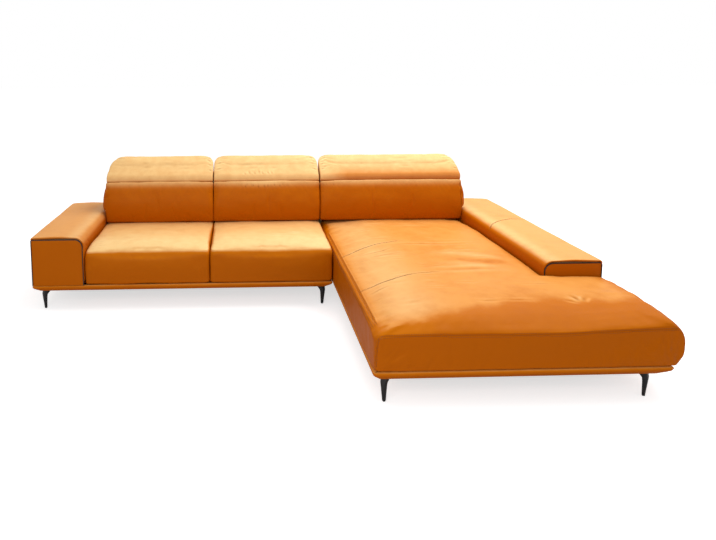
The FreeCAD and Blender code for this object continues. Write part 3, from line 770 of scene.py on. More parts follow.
# %% [markdown]
# ## Headrests
# A headrest is drawn upright about its hinge line and then folded back. Its lower front edge is round about
# that line, so it can turn in the lip of the back cushion without rubbing.

# %% Headrest forms
HEADREST_STEPS = ((0, 1.6), (4, 1.15), (12, 0.75), (26, 0.36), (50, 0.12), (95, 0.0))
HEADREST_TOP, CORNER = 236, 220
SLANTS = {"left": (36, -5), "middle": (5, -5), "right": (5, -30)}
FOLD = Matrix.Rotation(LEAN, 4, "X")


def headrest_outline(draw):
    """An upright headrest from the side, about its hinge line."""
    draw = max(draw, 0)
    top = HEADREST_TOP - 46 * draw
    return inset([(-45, -45, 45), (-45, 54, 160), (-47, top * 0.6, 260), (-36, top, 34), (39, top - 12, 40),
                  (65, 31.2, 12), (28.1, -45, 45)], 3 * draw + 2.5)


def folded(x, depth, height):
    """A drawing place of an upright headrest, folded back about the hinge line."""
    turned = FOLD @ Vector((0, depth, height))
    return x, PIVOT_Y + turned.y, PIVOT_Z + turned.z


def height_on_headrest(y, z):
    """How far up an upright headrest a folded place lies."""
    return -(y - PIVOT_Y) * math.sin(LEAN) + (z - PIVOT_Z) * math.cos(LEAN)


def headrest(side):
    """One headrest with its cloth, sewn along its lower front, its rear and its ends."""
    x0, x1 = SPANS[side][0] + 3, SPANS[side][1] - 3
    left, right = SLANTS[side]

    def slanted(x, height):
        """Draw a headrest's upper corners in towards its middle."""
        rise = max(0.0, height / HEADREST_TOP) ** 1.6
        return x + rise * (left * max(0, 1 - (x - x0) / CORNER) + right * max(0, 1 - (x1 - x) / CORNER))
    rows = [[spot(*folded(slanted(x, p.y), p.x, p.y)) for p in rounded(headrest_outline(draw))]
            for x, draw in crosswise(x0, x1, HEADREST_STEPS, ((0.5, 0.0),))]
    thing = even_skin(piece("headrest_" + side, skin(rows)), HEADREST_SKIN)

    def held(x, y, z):
        depth = (y - PIVOT_Y) * math.cos(LEAN) + (z - PIVOT_Z) * math.sin(LEAN)
        height = height_on_headrest(y, z)
        sides = np.minimum(x - x0, x1 - x)
        return np.maximum.reduce([1 - (height - 12) / 90, (depth - 34) / 10, 1.15 - sides / 30])
    stuff(thing, held, slack=0.002)
    return thing


headrests = {side: headrest(side) for side in SPANS}
print("headrests:", [len(thing.data.vertices) for thing in headrests.values()], "points")

# %% Swell every cushion in one run
cushions = [*seats.values(), long_seat, *backs.values(), *headrests.values()]
TRAVEL = {thing.name: 6.5 if "seat" in thing.name else 9.0 for thing in cushions}
swell(cushions, TRAVEL)
print("swollen:", len(cushions), "cushions")

# %% [markdown]
# ## Creasing the cushions
# The creases follow the photograph: gathers under each headrest, puckers where two cushions meet, the two
# cross seams of the chaise with their fading wrinkles, and the double seam along its left edge.

# %% Gathers and wrinkles
chance = random.Random(7)


def gathers(x0, x1, y, z, count, length, lean=0.0, width=5.0, depth=1.4):
    """Short wrinkles side by side, which run down from a seam."""
    lines = []
    for i in range(count):
        x = x0 + (x1 - x0) * (i + chance.uniform(0.2, 0.8)) / count
        run = length * chance.uniform(0.5, 1.2)
        points = ((x, y, z), (x + lean * run, y - run * 0.2, z - run))
        lines.append((points, width, depth * chance.uniform(0.5, 1.1), 0.4 * depth, 0.5))
    return lines


def wrinkles(x0, x1, y0, y1, z, count, lengths, width=9.0, depth=1.2):
    """Long shallow wrinkles that lie across a seat, each slightly bent."""
    lines = []
    for i in range(count):
        x, y = chance.uniform(x0, x1), chance.uniform(y0, y1)
        run, bend = chance.uniform(*lengths), chance.uniform(-14, 14)
        points = ((x - run / 2, y, z), (x - run / 6, y + bend, z), (x + run / 6, y + bend * 1.2, z),
                  (x + run / 2, y, z))
        lines.append((points, width * chance.uniform(0.7, 1.3), depth * chance.uniform(0.5, 1.1),
                      depth * 0.5, 0.5))
    return lines


print("gathers and wrinkles are ready")

# %% Creases of the two seats
def seat_creases(side, x0, x1):
    """Wrinkles over a seat, and short puckers where it meets its neighbours."""
    lines = wrinkles(x0 + 140, x1 - 140, 200, 600, 388, 10, (80, 260), 8.0, 1.1)
    if side == "left":
        lines += wrinkles(x0 + 40, x0 + 90, 60, 160, 375, 4, (50, 80), 6.0, 1.3)
    else:
        lines += wrinkles(1600, 1740, 240, 460, 386, 9, (40, 110), 6.0, 1.9)
    for edge, step in ((x0, 1), (x1, -1)):
        for i in range(4):
            y = chance.uniform(20, 560)
            inner = (edge + step * chance.uniform(40, 80), y + chance.uniform(-20, 20), 384)
            lines.append((((edge + step * 4, y, 372), inner), 6.0, 1.5, 0.7, 0.6))
    return lines


def seat_sheen(x, y, z, up):
    """Painted sheen on the tops, strongest near the front."""
    return (0.45 * np.exp(-((y - 120) / 200) ** 2) + 0.45) * np.clip((up - 0.6) / 0.3, 0, 1)


# The printed number is the painted sheen at a seat's front.
print("a seat's top is rubbed", round(float(seat_sheen(0, 120, 0, 1.0)), 2), "pale at its front")

# %% Seams of the chaise
SIDE_SEAM = [(SPLIT + 2, y, 336) for y in range(-1120, 500, 60)]
TOP_SEAM = [(SPLIT + 22, y, 356) for y in range(-1120, 500, 60)]
REAR_CROSS = ((SPLIT + 22, -150, 360), (1950, -100, 378), (2088, -24, 386), (2256, 30, 388), (2342, 54, 388))
FRONT_CROSS = ((SPLIT + 22, -738, 360), (1964, -692, 378), (2080, -639, 386), (2181, -604, 388),
               (2400, -548, 388))
FRONT_SEAM = ((1868, -1212, 324), (2141, -1212, 321), (2495, -1212, 317), (2851, -1212, 321),
              (3216, -1200, 328))
CORNER_SEAM = ((1868, -1212, 323), (1857, -1212, 253), (1849, -1211, 176))
SEAM_LINES = (SIDE_SEAM, TOP_SEAM, REAR_CROSS[:4], FRONT_CROSS[:4], FRONT_SEAM, CORNER_SEAM)
CHAISE_WRINKLES = (  # width, depth, ridge, then the line
    (8.0, 2.0, 0.8, (1948, -203, 386), (2120, -160, 386), (2228, -86, 388)),
    (8.0, 1.6, 0.8, (1894, -808, 380), (1963, -767, 384), (2043, -726, 386)),
    (14.0, 2.0, 0.8, (2110, -60, 388), (2300, -36, 388), (2500, -40, 388), (2790, -10, 388)),
    (12.0, 1.8, 0.8, (2000, -260, 388), (2120, -240, 388), (2250, -236, 388)),
    (22.0, 2.6, 1.0, (2234, -556, 388), (2480, -520, 388), (2760, -520, 388)),
    (50.0, 4.0, 1.4, (2330, -330, 388), (2504, -330, 388), (2642, -385, 388), (2790, -470, 388)),
    (10.0, 2.0, 1.2, (2850, -915, 384), (2872, -960, 382), (2880, -1010, 378)),
    (10.0, 1.5, 1.2, (2930, -940, 384), (2900, -975, 380), (2880, -1010, 378)),
    (10.0, 1.2, 1.0, (2800, -960, 384), (2850, -990, 380), (2880, -1010, 378)))


print("chaise:", len(SEAM_LINES), "seams and", len(CHAISE_WRINKLES), "drawn wrinkles")

# %% Creases of the chaise


def chaise_creases():
    """Seams, cross seams, drawn and scattered wrinkles, and gathers under the front."""
    lines = [(SIDE_SEAM, 5.0, 1.3, 0.7, 0.02), (TOP_SEAM, 5.0, 1.4, 0.7, 0.02)]
    lines += [(cross, 5.0, 2.8, 1.2, 0.2) for cross in (REAR_CROSS, FRONT_CROSS)]
    lines += [(line, width, depth, ridge, 0.4) for width, depth, ridge, *line in CHAISE_WRINKLES]
    lines += wrinkles(2050, 2800, -1000, 560, 388, 34, (70, 300), 11.0, 1.3)
    lines += [(FRONT_SEAM, 4.5, 1.5, 0.7, 0.01), (CORNER_SEAM, 4.5, 1.8, 0.8, 0.01)]
    return lines + gathers(1950, 3100, -1214, 300, 12, 70, 0.1, 12.0, 0.7)


def chaise_sheen_and_shade(x, y, z, up):
    """Painted sheen on the top, strongest near its left edge; painted shade where the front, the right side
    and the left edge roll down, by the broad crease, and a little all over.
    """
    pale = 0.05 + 0.35 * np.exp(-((x - 2040) / 150) ** 2) * np.clip((y + 1150) / 100, 0, 1)
    border = np.interp(x, (1850, 1900, 2160, 2320, 2500, 3300), (-1225, -1215, -1150, -1090, -1010, -985))
    border = border + 16 * np.sin(x / 83) + 9 * np.sin(x / 31 + 1)
    # Where the top rolls down, at the front, the right side and the left edge, the colour carries painted
    # shade.
    roll = np.clip((border - y) / 170 + 0.5, 0, 1)
    side = np.clip((x - 3090 + 0.05 * (y + 600)) / 180, 0, 1) * (y < -590)
    edge = 0.7 * np.exp(-((x - SPLIT - 10) / 44) ** 2)
    roll = np.maximum(roll * roll * (3 - 2 * roll), edge)
    painted_shade = 0.38 * np.maximum(roll, side) + 0.1 * np.exp(-(((x - 2640) / 190) ** 2 + ((y + 400) / 60) ** 2))
    return pale * np.clip((up - 0.6) / 0.3, 0, 1) * (1 - np.maximum(roll, side)) - painted_shade - 0.06


print("the chaise's left edge darkens by", round(-float(chaise_sheen_and_shade(SPLIT + 10, 0, 0, 0)), 2))

# %% Creases of the backs
def back_creases(side, x0, x1):
    """Gathers under a headrest, and the seam along the right back's outer end."""
    lines = gathers(x0 + 30, x1 - 30, 676, 662, round((x1 - x0) / 40), 26, 0.0, 6.0, 0.9)
    if side == "middle":
        lines += gathers(1250, 1620, 674, 664, 16, 46, 0.05, 6.0, 2.0)
    if side == "right":
        lines += gathers(x0 + 10, x0 + 150, 674, 662, 6, 40, 0.2, 6.0, 1.5)
        lines.append((((x1 - 3, 672, 655), (x1 - 2, 650, 580), (x1 - 2, 646, 470)), 4.5, 3.0, 0.6, 0.02))
    return lines


def back_lip_sheen(x, y, z, up):
    """A painted highlight on the lip under a headrest, stronger where it is gathered."""
    gathered = 0.3 * np.exp(-((x - 1440) / 170) ** 2)
    return (0.5 + gathered) * np.exp(-((672 - np.minimum(z, 672)) / 26) ** 2)


# The printed number is the painted highlight on a back's lip.
print("a back's lip is rubbed", round(float(back_lip_sheen(0, 0, 672, 0)), 2), "pale")

# %% Creases of the headrests
def before_rest(x, height):
    """A drawing point in front of an upright headrest's face, folded back with it."""
    return folded(x, -55, height)


PLEATS = {"left": (0, 5), "middle": (3, 4), "right": (7, 3)}


def headrest_creases(side, x0, x1):
    """Wrinkles over the face, gathers above the middle seam and pleats at the ends."""
    lines = []
    for i in range(5):
        x, height = chance.uniform(x0 + 120, x1 - 120), chance.uniform(60, 190)
        run = chance.uniform(60, 150)
        ends = (before_rest(x - run / 2, height), before_rest(x + run / 2, height + chance.uniform(-8, 8)))
        lines.append((ends, 11.0, 1.2, 0.6, 0.5))
    if side == "middle":
        for i in range(7):
            x = 1310 + i * 30 + chance.uniform(-10, 10)
            ends = (before_rest(x, chance.uniform(20, 72)), before_rest(x + 16, -14))
            lines.append((ends, 6.5, 1.6, 1.0, 0.5))
    for edge, step, count in ((x0, 1, PLEATS[side][0]), (x1, -1, PLEATS[side][1])):
        for i in range(count):
            height = 30 + 170 * (i + chance.uniform(0.1, 0.9)) / count
            reach = chance.uniform(35, 85)
            ends = (before_rest(edge + step * 4, height), before_rest(edge + step * reach, height + 16))
            lines.append((ends, 7.0, 2.6, 1.2, 0.6))
    return lines


def headrest_sheen_and_shade(x, y, z, up):
    """Painted sheen all over the front and top; painted shade low on each headrest, strongest on the wide one
    above its seam.
    """
    low = np.clip((90 - height_on_headrest(y, z)) / 95, 0, 1)
    lower_shade = (0.1 + 0.52 * np.clip((x - SPLIT) / 200, 0, 1)) * low
    return (0.78 - lower_shade) * np.clip((up + 0.5) / 0.5, 0, 1)


print("pleats at each headrest's left and right end:", PLEATS)

# %% Apply the creases
def finish_cushion(thing, lines, sheen_and_shade):
    """Refine a cushion, give it soft waves and press its creases."""
    smoother(thing, 1)
    undulate(thing, 3.0, 170, 3)
    undulate(thing, 1.2, 60, 4)
    press(thing, lines, sheen_and_shade)


for side, thing in seats.items():
    finish_cushion(thing, seat_creases(side, *SPANS[side]), seat_sheen)
finish_cushion(long_seat, chaise_creases(), chaise_sheen_and_shade)
for side, (x0, x1) in SPANS.items():
    finish_cushion(backs[side], back_creases(side, x0, x1), back_lip_sheen)
    finish_cushion(headrests[side], headrest_creases(side, x0, x1), headrest_sheen_and_shade)
print("creased", len(cushions), "cushions")

# %% [markdown]
# ## Stitches
# A double seam is held by two rows of thick thread. Each stitch is one short rounded stick, laid on the
# finished leather beside the groove, so that the rows follow every swell of the cushion.

# %% Stitches
STITCH, GAP, THREAD, ROW = 7.0, 3.4, 0.7, 5.0


def stitch_row(bm, tree, points, beside):
    """Lay a row of stitches along a drawn line, moved sideways by a few millimetres."""
    line = lay(tree, points, STITCH + GAP)
    for a, b in zip(line, line[1:]):
        middle, normal, _, _ = tree.find_nearest((a + b) / 2)
        along = (b - a).normalized()
        across = normal.cross(along).normalized()
        place, normal, _, _ = tree.find_nearest(middle + across * beside / 1000)
        turn = along.to_track_quat("Z", "Y").to_matrix().to_4x4()
        bmesh.ops.create_cone(bm, cap_ends=True, segments=6, radius1=THREAD / 1000, radius2=THREAD / 1000,
                              depth=min(STITCH / 1000, (b - a).length * 0.8),
                              matrix=Matrix.Translation(place + normal * THREAD / 2000) @ turn)


def stitching(name, thing, lines):
    """Two rows of stitches along each line, laid on a piece."""
    tree = surface_of(thing)
    bm = bmesh.new()
    for line in lines:
        for beside in (-ROW, ROW):
            stitch_row(bm, tree, line, beside)
    return piece(name, bm)


chaise_stitches = stitching("chaise_stitches", long_seat, SEAM_LINES)
print("stitches:", len(chaise_stitches.data.polygons) // 8)

# %% [markdown]
# ## Arms
# An arm has a padded strip over its top and down its inner side, a flat panel in front, and a leather side
# that runs round the rear corner. The pad and the side are sheets with even squares that get their thickness
# afterwards; the panel is a thin closed pillow.

# %% Sheets


def mirrored(x, y, z):
    """A place on the right arm, drawn as if on the left one."""
    return spot(WIDTH - x, y, z)


def arc(a, b, radius, angles):
    """Points round a quarter circle about (a, b), where 0 degrees is straight up and 90 is to the right."""
    return [(a + radius * math.sin(math.radians(angle)), b + radius * math.cos(math.radians(angle)))
            for angle in angles]


def open_sheet(rows, inside):
    """A sheet over rows of points, cut to equal counts, that faces away from a place inside the piece."""
    count = min(len(row) for row in rows)
    bm = skin([row[:count] for row in rows], closed=False, capped=False)
    face_out(bm, inside)
    return bm


def resample(points, step=9.0):
    """Even steps along an open line of two-part points."""
    line = [Vector(p) for p in points]
    lengths = [0.0]
    for a, b in zip(line, line[1:]):
        lengths.append(lengths[-1] + (b - a).length)
    count = max(2, round(lengths[-1] / step))
    result = []
    for i in range(count):
        goal = lengths[-1] * i / count
        k = max(j for j in range(len(line) - 1) if lengths[j] <= goal + 1e-9)
        share = (goal - lengths[k]) / max(lengths[k + 1] - lengths[k], 1e-9)
        result.append(line[k].lerp(line[k + 1], share))
    return result + [line[-1]]


def thick(thing, millimetres):
    """Give a sheet its thickness, inwards."""
    modifier = thing.modifiers.new("thickness", "SOLIDIFY")
    modifier.thickness = millimetres / 1000
    modifier.offset = -1
    modifier.use_even_offset = True
    return settle(thing)


print("sheet helpers are ready")

# %% Arm pads
REAR_ROUND = 22.0
OUTER_ROUND = {"left": 11.0, "right": 16.0}
FRONTS = {"left": 0.0, "right": -ARM_REACH}


def pad_path(side, y, rear, back_off):
    """Front view of the pad's outer face, from its outer lip over the top and down the inner side."""
    left, right, top = back_off, ARM - back_off, ARM_TOP - back_off
    if y > rear - REAR_ROUND:
        left += REAR_ROUND - math.sqrt(max(REAR_ROUND ** 2 - (y - rear + REAR_ROUND) ** 2, 0))
    steps = 10
    closed = rounded([(left, 420, 1), (left, top - 1, OUTER_ROUND[side]),
                      ((left + right) / 2, top + 5 * (1 - back_off / 8), 700), (right, top - 1, 50),
                      (right, BASE, 1), (left + 40, BASE, 1)], steps)
    corner = steps + 1  # points at each corner of the outline
    return [Vector((left, ARM_TOP - PAD))] + closed[corner:4 * corner] + [Vector((right, BASE))]


def arm_pad(side, front):
    """The padded strip over an arm: front lip, even steps along it, and the rear round."""
    put, rear = (spot if side == "left" else mirrored), DEPTH
    stops = [(front - 9, 6.0), (front - 8.4, 3.4), (front - 6, 1.2), (front - 2, 0.0)]
    stops += [(y, 0.0) for y in range(int(front) + 8, int(rear - REAR_ROUND - 4), 11)]
    stops += [(rear - REAR_ROUND + REAR_ROUND * math.sin(math.radians(a)), 0.0) for a in range(0, 86, 12)]
    stops.append((rear - 0.1, 1.0))
    rows = []
    for y, back_off in stops:
        row = []
        for p in resample(pad_path(side, y, rear, back_off)):
            if p.x > ARM / 2:
                p.x -= PINCH * min(1.0, max(0.0, (400 - p.y) / 30))
            lip = min(1.0, max(0.1, (p.y - 395) / 45))
            row.append(put(p.x, front + (y - front) * lip if y < front else y, p.y))
        rows.append(row)
    thing = piece("arm_top_pad_" + side, open_sheet(rows, put(160, (front + rear) / 2, 250)))
    return smoother(thick(thing, 14), 1)


pads = {side: arm_pad(side, front) for side, front in FRONTS.items()}
print("pads:", [len(thing.data.polygons) for thing in pads.values()], "faces")

# %% Painted sheen and shade, dents and the seam of the arm pads
PAD_SEAM = ((2884, 152, 440), (2900, 176, 458), (2980, 255, 466), (3094, 320, 468), (3190, 316, 466))
DENTS = {"left": [(((318, 40, 400), (318, 110, 380)), 7.0, 2.0, 1.0, 0.5),
                  (((318, 90, 420), (318, 170, 385)), 7.0, 1.8, 1.0, 0.5)],
         "right": [(PAD_SEAM, 5.0, 2.4, 1.0, 0.02)]}


def arm_sheen_and_shade(x, y, z, up):
    """Painted sheen on the tops, brightest along the inner shoulder; painted shade low on the inner side of
    the right arm.
    """
    right = x > 2000
    inner = np.clip((3100 - x) / 60, 0, 1) * right * np.clip((452 - z) / 26, 0, 1)
    shoulder = np.exp(-((np.where(right, WIDTH - x, x) - 262) / 44) ** 2)
    facing = np.clip((up - np.where(right, 0.55, 0.05)) / 0.35, 0, 1)
    return (np.where(right, 0.24, 0.12) + 0.28 * shoulder) * facing - 0.3 * inner


for side, thing in pads.items():
    undulate(thing, 2.0, 190, 5)
    press(thing, DENTS[side], arm_sheen_and_shade)
pad_stitches = stitching("pad_stitches", pads["right"], [PAD_SEAM])
print("stitches on the right arm:", len(pad_stitches.data.polygons) // 8)

# %% Arm panels and side covers
PANEL_STEPS = ((4, 0), (3, 0), (1, 0.8), (0, 3), (-1, 8), (-1.8, 16), (-2.6, 30), (-3.2, 50), (-3.6, 80),
               (-3.8, 110))  # how far back, and how far in from the outline


def arm_panel(side, front):
    """The flat front of an arm: a thin pillow inside the curve of the pad."""
    put = spot if side == "left" else mirrored
    outline = [(1, BASE, 4), (1, 445.6, OUTER_ROUND[side] - 5), (309, 445.6, 46), (309, BASE, 4)]
    return piece("arm_panel_" + side, skin(
        [[put(p.x, front + y, p.y) for p in rounded(inset(outline, distance + 0.2), 8)]
         for y, distance in PANEL_STEPS]))


def arm_side(side, front):
    """The leather outer side of an arm, which runs round the rear corner."""
    put, rear = (spot if side == "left" else mirrored), DEPTH
    corner = arc(REAR_ROUND, rear - REAR_ROUND, REAR_ROUND, range(-90, 1, 10))
    rows = []
    for z in [BASE + 1, BASE + 3, *range(180, 440, 14), 441, 445]:
        swell_out = 3.0 * math.sin(math.pi * (z - BASE) / 281) - (2.0 if z in (BASE + 1, 445) else 0.0)
        path = [(-swell_out, front + 18)]
        for a, b in corner:
            path.append((a - swell_out * (1 - a / REAR_ROUND), b + swell_out * (a / REAR_ROUND)))
        path.append((ARM, rear + swell_out))
        rows.append([put(p.x, p.y, z) for p in resample(path, 14.0)])
    return thick(piece("arm_side_" + side, open_sheet(rows, put(200, (front + rear) / 2, 300))), 11)


panels = {side: arm_panel(side, front) for side, front in FRONTS.items()}
sides = {side: arm_side(side, front) for side, front in FRONTS.items()}
print("arm sides:", [len(thing.data.polygons) for thing in sides.values()], "faces")

# %% [markdown]
# ## Piping
# A thin dark cord of leather is sewn in where the arm's panel meets the pad; its near-black tone also stands
# in for the shadow under the pad's lip. A curve with a round bevel is the simplest way to lay it along that
# line; it is made a mesh straight away.

# %% Piping


def tube(name, points, radius):
    """A round cord along a line of points in metres."""
    curve = bpy.data.curves.new(name, "CURVE")
    curve.dimensions = "3D"
    curve.bevel_depth, curve.bevel_resolution = radius / 1000, 2
    curve.use_fill_caps = True
    spline = curve.splines.new("POLY")
    spline.points.add(len(points) - 1)
    for target, point in zip(spline.points, points):
        target.co = (*point, 1)
    line = placed(name, curve)
    mesh = smooth(evaluated(line))
    bpy.data.objects.remove(line)
    return placed(name, mesh)


def arm_piping(side, front):
    """From the outer bottom of an arm's front, over the top, to its inner bottom."""
    put = spot if side == "left" else mirrored
    rail, inner, outer, bend, turn = ARM_TOP - PAD - 1, ARM - PINCH - 5, 2.5, 46.0, OUTER_ROUND[side] - 3
    path = [(outer, z) for z in (BASE + 4, 220, 270, 320, 370, rail - turn - 8)]
    path += arc(outer + turn, rail - turn, turn, range(-90, 1, 15))
    path += [(x, rail) for x in (40, 80, 120, 160, 200, 240, 262)]
    path += arc(inner - bend, rail - bend, bend, range(0, 91, 10))
    path += [(inner, z) for z in (370, 320, 270, 220, BASE + 4)]
    return tube("arm_cord_" + side, [put(x, front - 1.5, z) for x, z in path], 3.2)


pipings = {side: arm_piping(side, front) for side, front in FRONTS.items()}
print("piping laid")

# %% [markdown]
# ## Base boards
# Under each section lies a thin board wrapped in leather. Its two ends are cut back below, so that the sofa
# seems to float. Its front is nearly upright, with a tight round above that catches the light.

# %% Base boards
LIP = 5.0
BOARD = (  # height, cut at the ends (below 2: a share of each end's cut), cut at the front
    (134.6, 110, 70), (134.6, 88, 44), (125, 80, 40), (124, 76, 36), (124, 1.02, 12), (125, 0.98, 9.5),
    (129, 0.8, 7), (134, 0.42, 3.4), (137, 0.28, 2.4), (138.5, 0.2, 0.4), (140, 0.14, 0), (147, 0.01, 1.6),
    (150, 0.02, 3), (152, 0.06, 5), (153, 0.14, 8), (153, 30, 30))


def plinth(name, x0, x1, y0, y1, cut_left, cut_right):
    """A board whose front is nearly upright, with a lit band above, and whose two ends are cut back below."""
    rows = []
    for z, end, face in BOARD:
        left, right = (end, end) if end > 2 else (end * cut_left, end * cut_right)
        front, radius = y0 - LIP + face, max(18 - face * 0.4, 8)
        outline = [(x0 - LIP + left, front, radius), (x0 - LIP + left, y1 - face, radius),
                   (x1 - right, y1 - face, radius), (x1 - right, front, radius)]
        rows.append([spot(p.x, p.y, z) for p in rounded(outline)])
    return piece("base_board_" + name, skin(rows))


boards = {"sofa": plinth("sofa", 0, SPLIT - 0.5, 0, DEPTH, 42, 42),
          "chaise": plinth("chaise", SPLIT + 5.5, WIDTH + 5, -REACH, DEPTH, 26, 70)}
print("base boards laid")

# %% [markdown]
# ## Legs
# A leg is one bent plate: a flange under the board, a knee that leans outwards and a tapering shin. A short
# row of outlines, each with rounded corners, is bridged.

# %% Legs
FLANGE, BOARD_UNDER = -50, 134.9  # sections further in than this lie flat under the board
FEET = ((62, 46, -1, -1), (SPLIT - 62, 46, 1, -1), (62, 934, -1, 1), (SPLIT - 62, 934, 1, 1),
        (SPLIT + 62, 46 - REACH, -1, -1), (WIDTH - 102, 46 - REACH, 1, -1), (SPLIT + 62, 934, -1, 1),
        (WIDTH - 102, 934, 1, 1))
LEG_SECTIONS = (  # way out, height, length, width and tilt of each section
    (-62, 131, 8, 50, 0), (-58, 131, 8, 52, 0), (-34, 127, 26, 40, 8), (-16, 117, 34, 31, 24),
    (-3, 104, 31, 29, 22), (3, 90, 25, 26, 12), (3, 74, 21.5, 23, 4), (2, 50, 18.5, 20, 2),
    (0.6, 22, 15, 17, 0), (0, 4.4, 13, 15, 0))


def leg(x, y, dx, dy):
    """The leg whose foot is at (x, y) and whose knee points towards (dx, dy)."""
    turn = Matrix.Rotation(math.atan2(dy, dx), 4, "Z")
    rows = []
    for out, z, length, width, tilt in LEG_SECTIONS:
        c, s = math.cos(math.radians(tilt)), math.sin(math.radians(tilt))
        corners = [(-length / 2, -width / 2, 3), (-length / 2, width / 2, 3), (length / 2, width / 2, 3),
                   (length / 2, -width / 2, 3)]
        row = []
        for p in rounded(corners, 2):
            turned = turn @ Vector((out if out < FLANGE else out + p.x * c, p.y, 0))
            height = 133 + p.x * 0.24 if out < FLANGE else min(z + p.x * s, BOARD_UNDER)
            row.append(spot(x + turned.x, y + turned.y, height))
        rows.append(row)
    return skin(rows)


whole = bmesh.new()
for foot in FEET:
    add_form(whole, leg(*foot))
legs = piece("bent_legs", whole)
print("legs:", len(legs.data.polygons), "faces")

# %% [markdown]
# ## Upholstered rear
# The rear of each section is one sheet of leather that comes over the top edge, with an end panel where the
# section meets its arm.

# %% Rear skins
REAR_PATH = [(912.4, 692), (912.4, 699)]
REAR_PATH += [(921 - 9 * math.cos(math.radians(a)), 699 + 3 * math.sin(math.radians(a)))
              for a in (30, 60, 90)]
REAR_PATH += arc(978, 680, 22, range(0, 91, 10))
REAR_PATH += [(1000 + 2.5 * math.sin(math.pi * (z - BASE) / 515), z) for z in range(660, 170, -20)]
REAR_PATH += [(1000, BASE + 1)]
REAR_CORNERS = [(849, BASE + 1, 3), (849, 636, 8), (911, 689, 8), (986, 689, 10), (986, BASE + 1, 3)]
DIPS = (3.0, 1.0)  # how far the sheet dips at its two end rows


def rear_skin(name, x0, x1, panel_x):
    """The sheet over the rear of a section, and the panel that closes its end at x = panel_x."""
    rows = []
    count = round((x1 - x0) / 16)
    for i in range(count + 1):
        x, edge = x0 + (x1 - x0) * i / count, min(i, count - i)
        dip = DIPS[edge] if edge < len(DIPS) else 0.0
        rows.append([spot(x, p.x - dip * (p.x > 990), p.y - dip * (p.y > 690))
                     for p in resample(REAR_PATH, 15.0)])
    sheet = thick(piece("rear_leather_" + name, open_sheet(rows, spot((x0 + x1) / 2, 930, 400))), 11)
    end = skin([[spot(panel_x + step, p.x, p.y) for p in rounded(inset(REAR_CORNERS, distance))]
                for step, distance in ((0, 3), (1, 0.8), (3, 0), (9, 0), (11, 0.8), (12, 3))])
    return sheet, piece("rear_panel_" + name, end)


rears = {"sofa": rear_skin("sofa", ARM + 0.6, SPLIT - 0.6, ARM + 0.6),
         "chaise": rear_skin("chaise", SPLIT + 0.6, CHAISE_RIGHT - 0.6, CHAISE_RIGHT - 12.6)}
print("rear skins laid")

# %% [markdown]
# ## Finishes of the pieces inside
# The timber, foam, webbing, springs and hinges hardly show, but a reader who lifts a cushion should find real
# finishes: grain in the timber, a weave in the webbing, a fine speckle on the powder coat.

# %% Timber and webbing


def timber():
    """Plywood: grain along the board, and its plies across."""
    paint = Paint("plywood")
    place = paint.place()
    rings = paint.noise(paint.stretch(place, (1.2, 14.0, 22.0)), 6.0, 6.0, 0.6)
    plies = paint.node("TexWave", {"bands_direction": "Z"},
                       {"Vector": place, "Scale": 90.0, "Distortion": 0.6})
    colour = paint.mix(rings, tint(186, 142, 92), tint(222, 184, 132))
    colour = paint.mix(plies * 0.25, colour, tint(160, 116, 70))
    return paint.finish(Base_Color=colour, Roughness=0.62 + rings * 0.2,
                        Normal=paint.bump(rings, 0.0006, 0.4))


def webbing():
    """Dark elastic tape with a thin red thread across."""
    paint = Paint("elastic_webbing")
    place = paint.place()
    weave = paint.node("TexWave", {}, {"Vector": place, "Scale": 160.0, "Distortion": 0.4})
    across = paint.node("TexWave", {"bands_direction": "Y"}, {"Vector": place, "Scale": 110.0})
    colour = paint.mix(weave, tint(38, 38, 44), tint(92, 90, 98))
    colour = paint.mix(across * 0.3, colour, tint(150, 40, 36))
    return paint.finish(Base_Color=colour, Roughness=0.85, Normal=paint.bump(weave * across, 0.0006, 0.6))


print("grain for the timber and a weave for the webbing are ready")

# %% Patterns of the plain finishes


def speckle(scale, detail):
    """A pattern of fine spots."""
    return lambda paint: paint.noise(paint.place(), scale, detail)


def brushed(paint):
    """A pattern of long fine scratches."""
    return paint.noise(paint.stretch(paint.place(), (1.0, 40.0, 40.0)), 40.0, 3.0)


def cells(paint):
    """The pattern of open foam."""
    return paint.node("TexVoronoi", {}, {"Vector": paint.place(), "Scale": 500.0})


def plain(name, pattern, dark, light, rough, relief, wear_and_painted_light=None, **more):
    """A finish whose gloss and relief follow one pattern, and its colour the same one or a second, wear."""
    paint = Paint(name)
    amount = pattern(paint)
    colour = paint.mix(wear_and_painted_light(paint) if wear_and_painted_light else amount, tint(*dark), tint(*light))
    return paint.finish(Base_Color=colour, Roughness=rough[0] + amount * rough[1],
                        Normal=paint.bump(amount, *relief), **more)


print("speckle, brushed and cells are ready")

# %% Finishes by slot
FINISHES = {
    "leather": COVER, "piping": PIPING, "timber": timber(), "webbing": webbing(),
    "dust_cover": plain("dust_cloth", speckle(700.0, 4.0), (16, 16, 17), (44, 44, 46), (0.95, 0),
                        (0.0003, 0.6)),
    "foam": plain("seat_foam", cells, (222, 206, 150), (244, 232, 186), (0.95, 0), (0.0008, 0.6)),
    "plastic": plain("black_plastic", speckle(900.0, 2.0), (18, 18, 18), (34, 34, 34), (0.5, 0.2),
                     (0.0002, 0.4)),
    "black_metal": plain("black_powder_coat", speckle(1400.0, 2.0), (20, 19, 20), (42, 40, 41), (0.36, 0.16),
                         (0.0002, 0.5), wear_and_painted_light=speckle(26.0, 4.0), Metallic=0.35),
    "spring_steel": plain("spring_wire", brushed, (120, 118, 116), (176, 174, 170), (0.34, 0.18),
                          (0.0001, 0.3), Metallic=1.0),
    "steel": plain("zinc_steel", brushed, (150, 152, 156), (206, 208, 212), (0.26, 0.18), (0.0001, 0.3),
                   Metallic=1.0)}
print("finishes:", sorted(FINISHES))

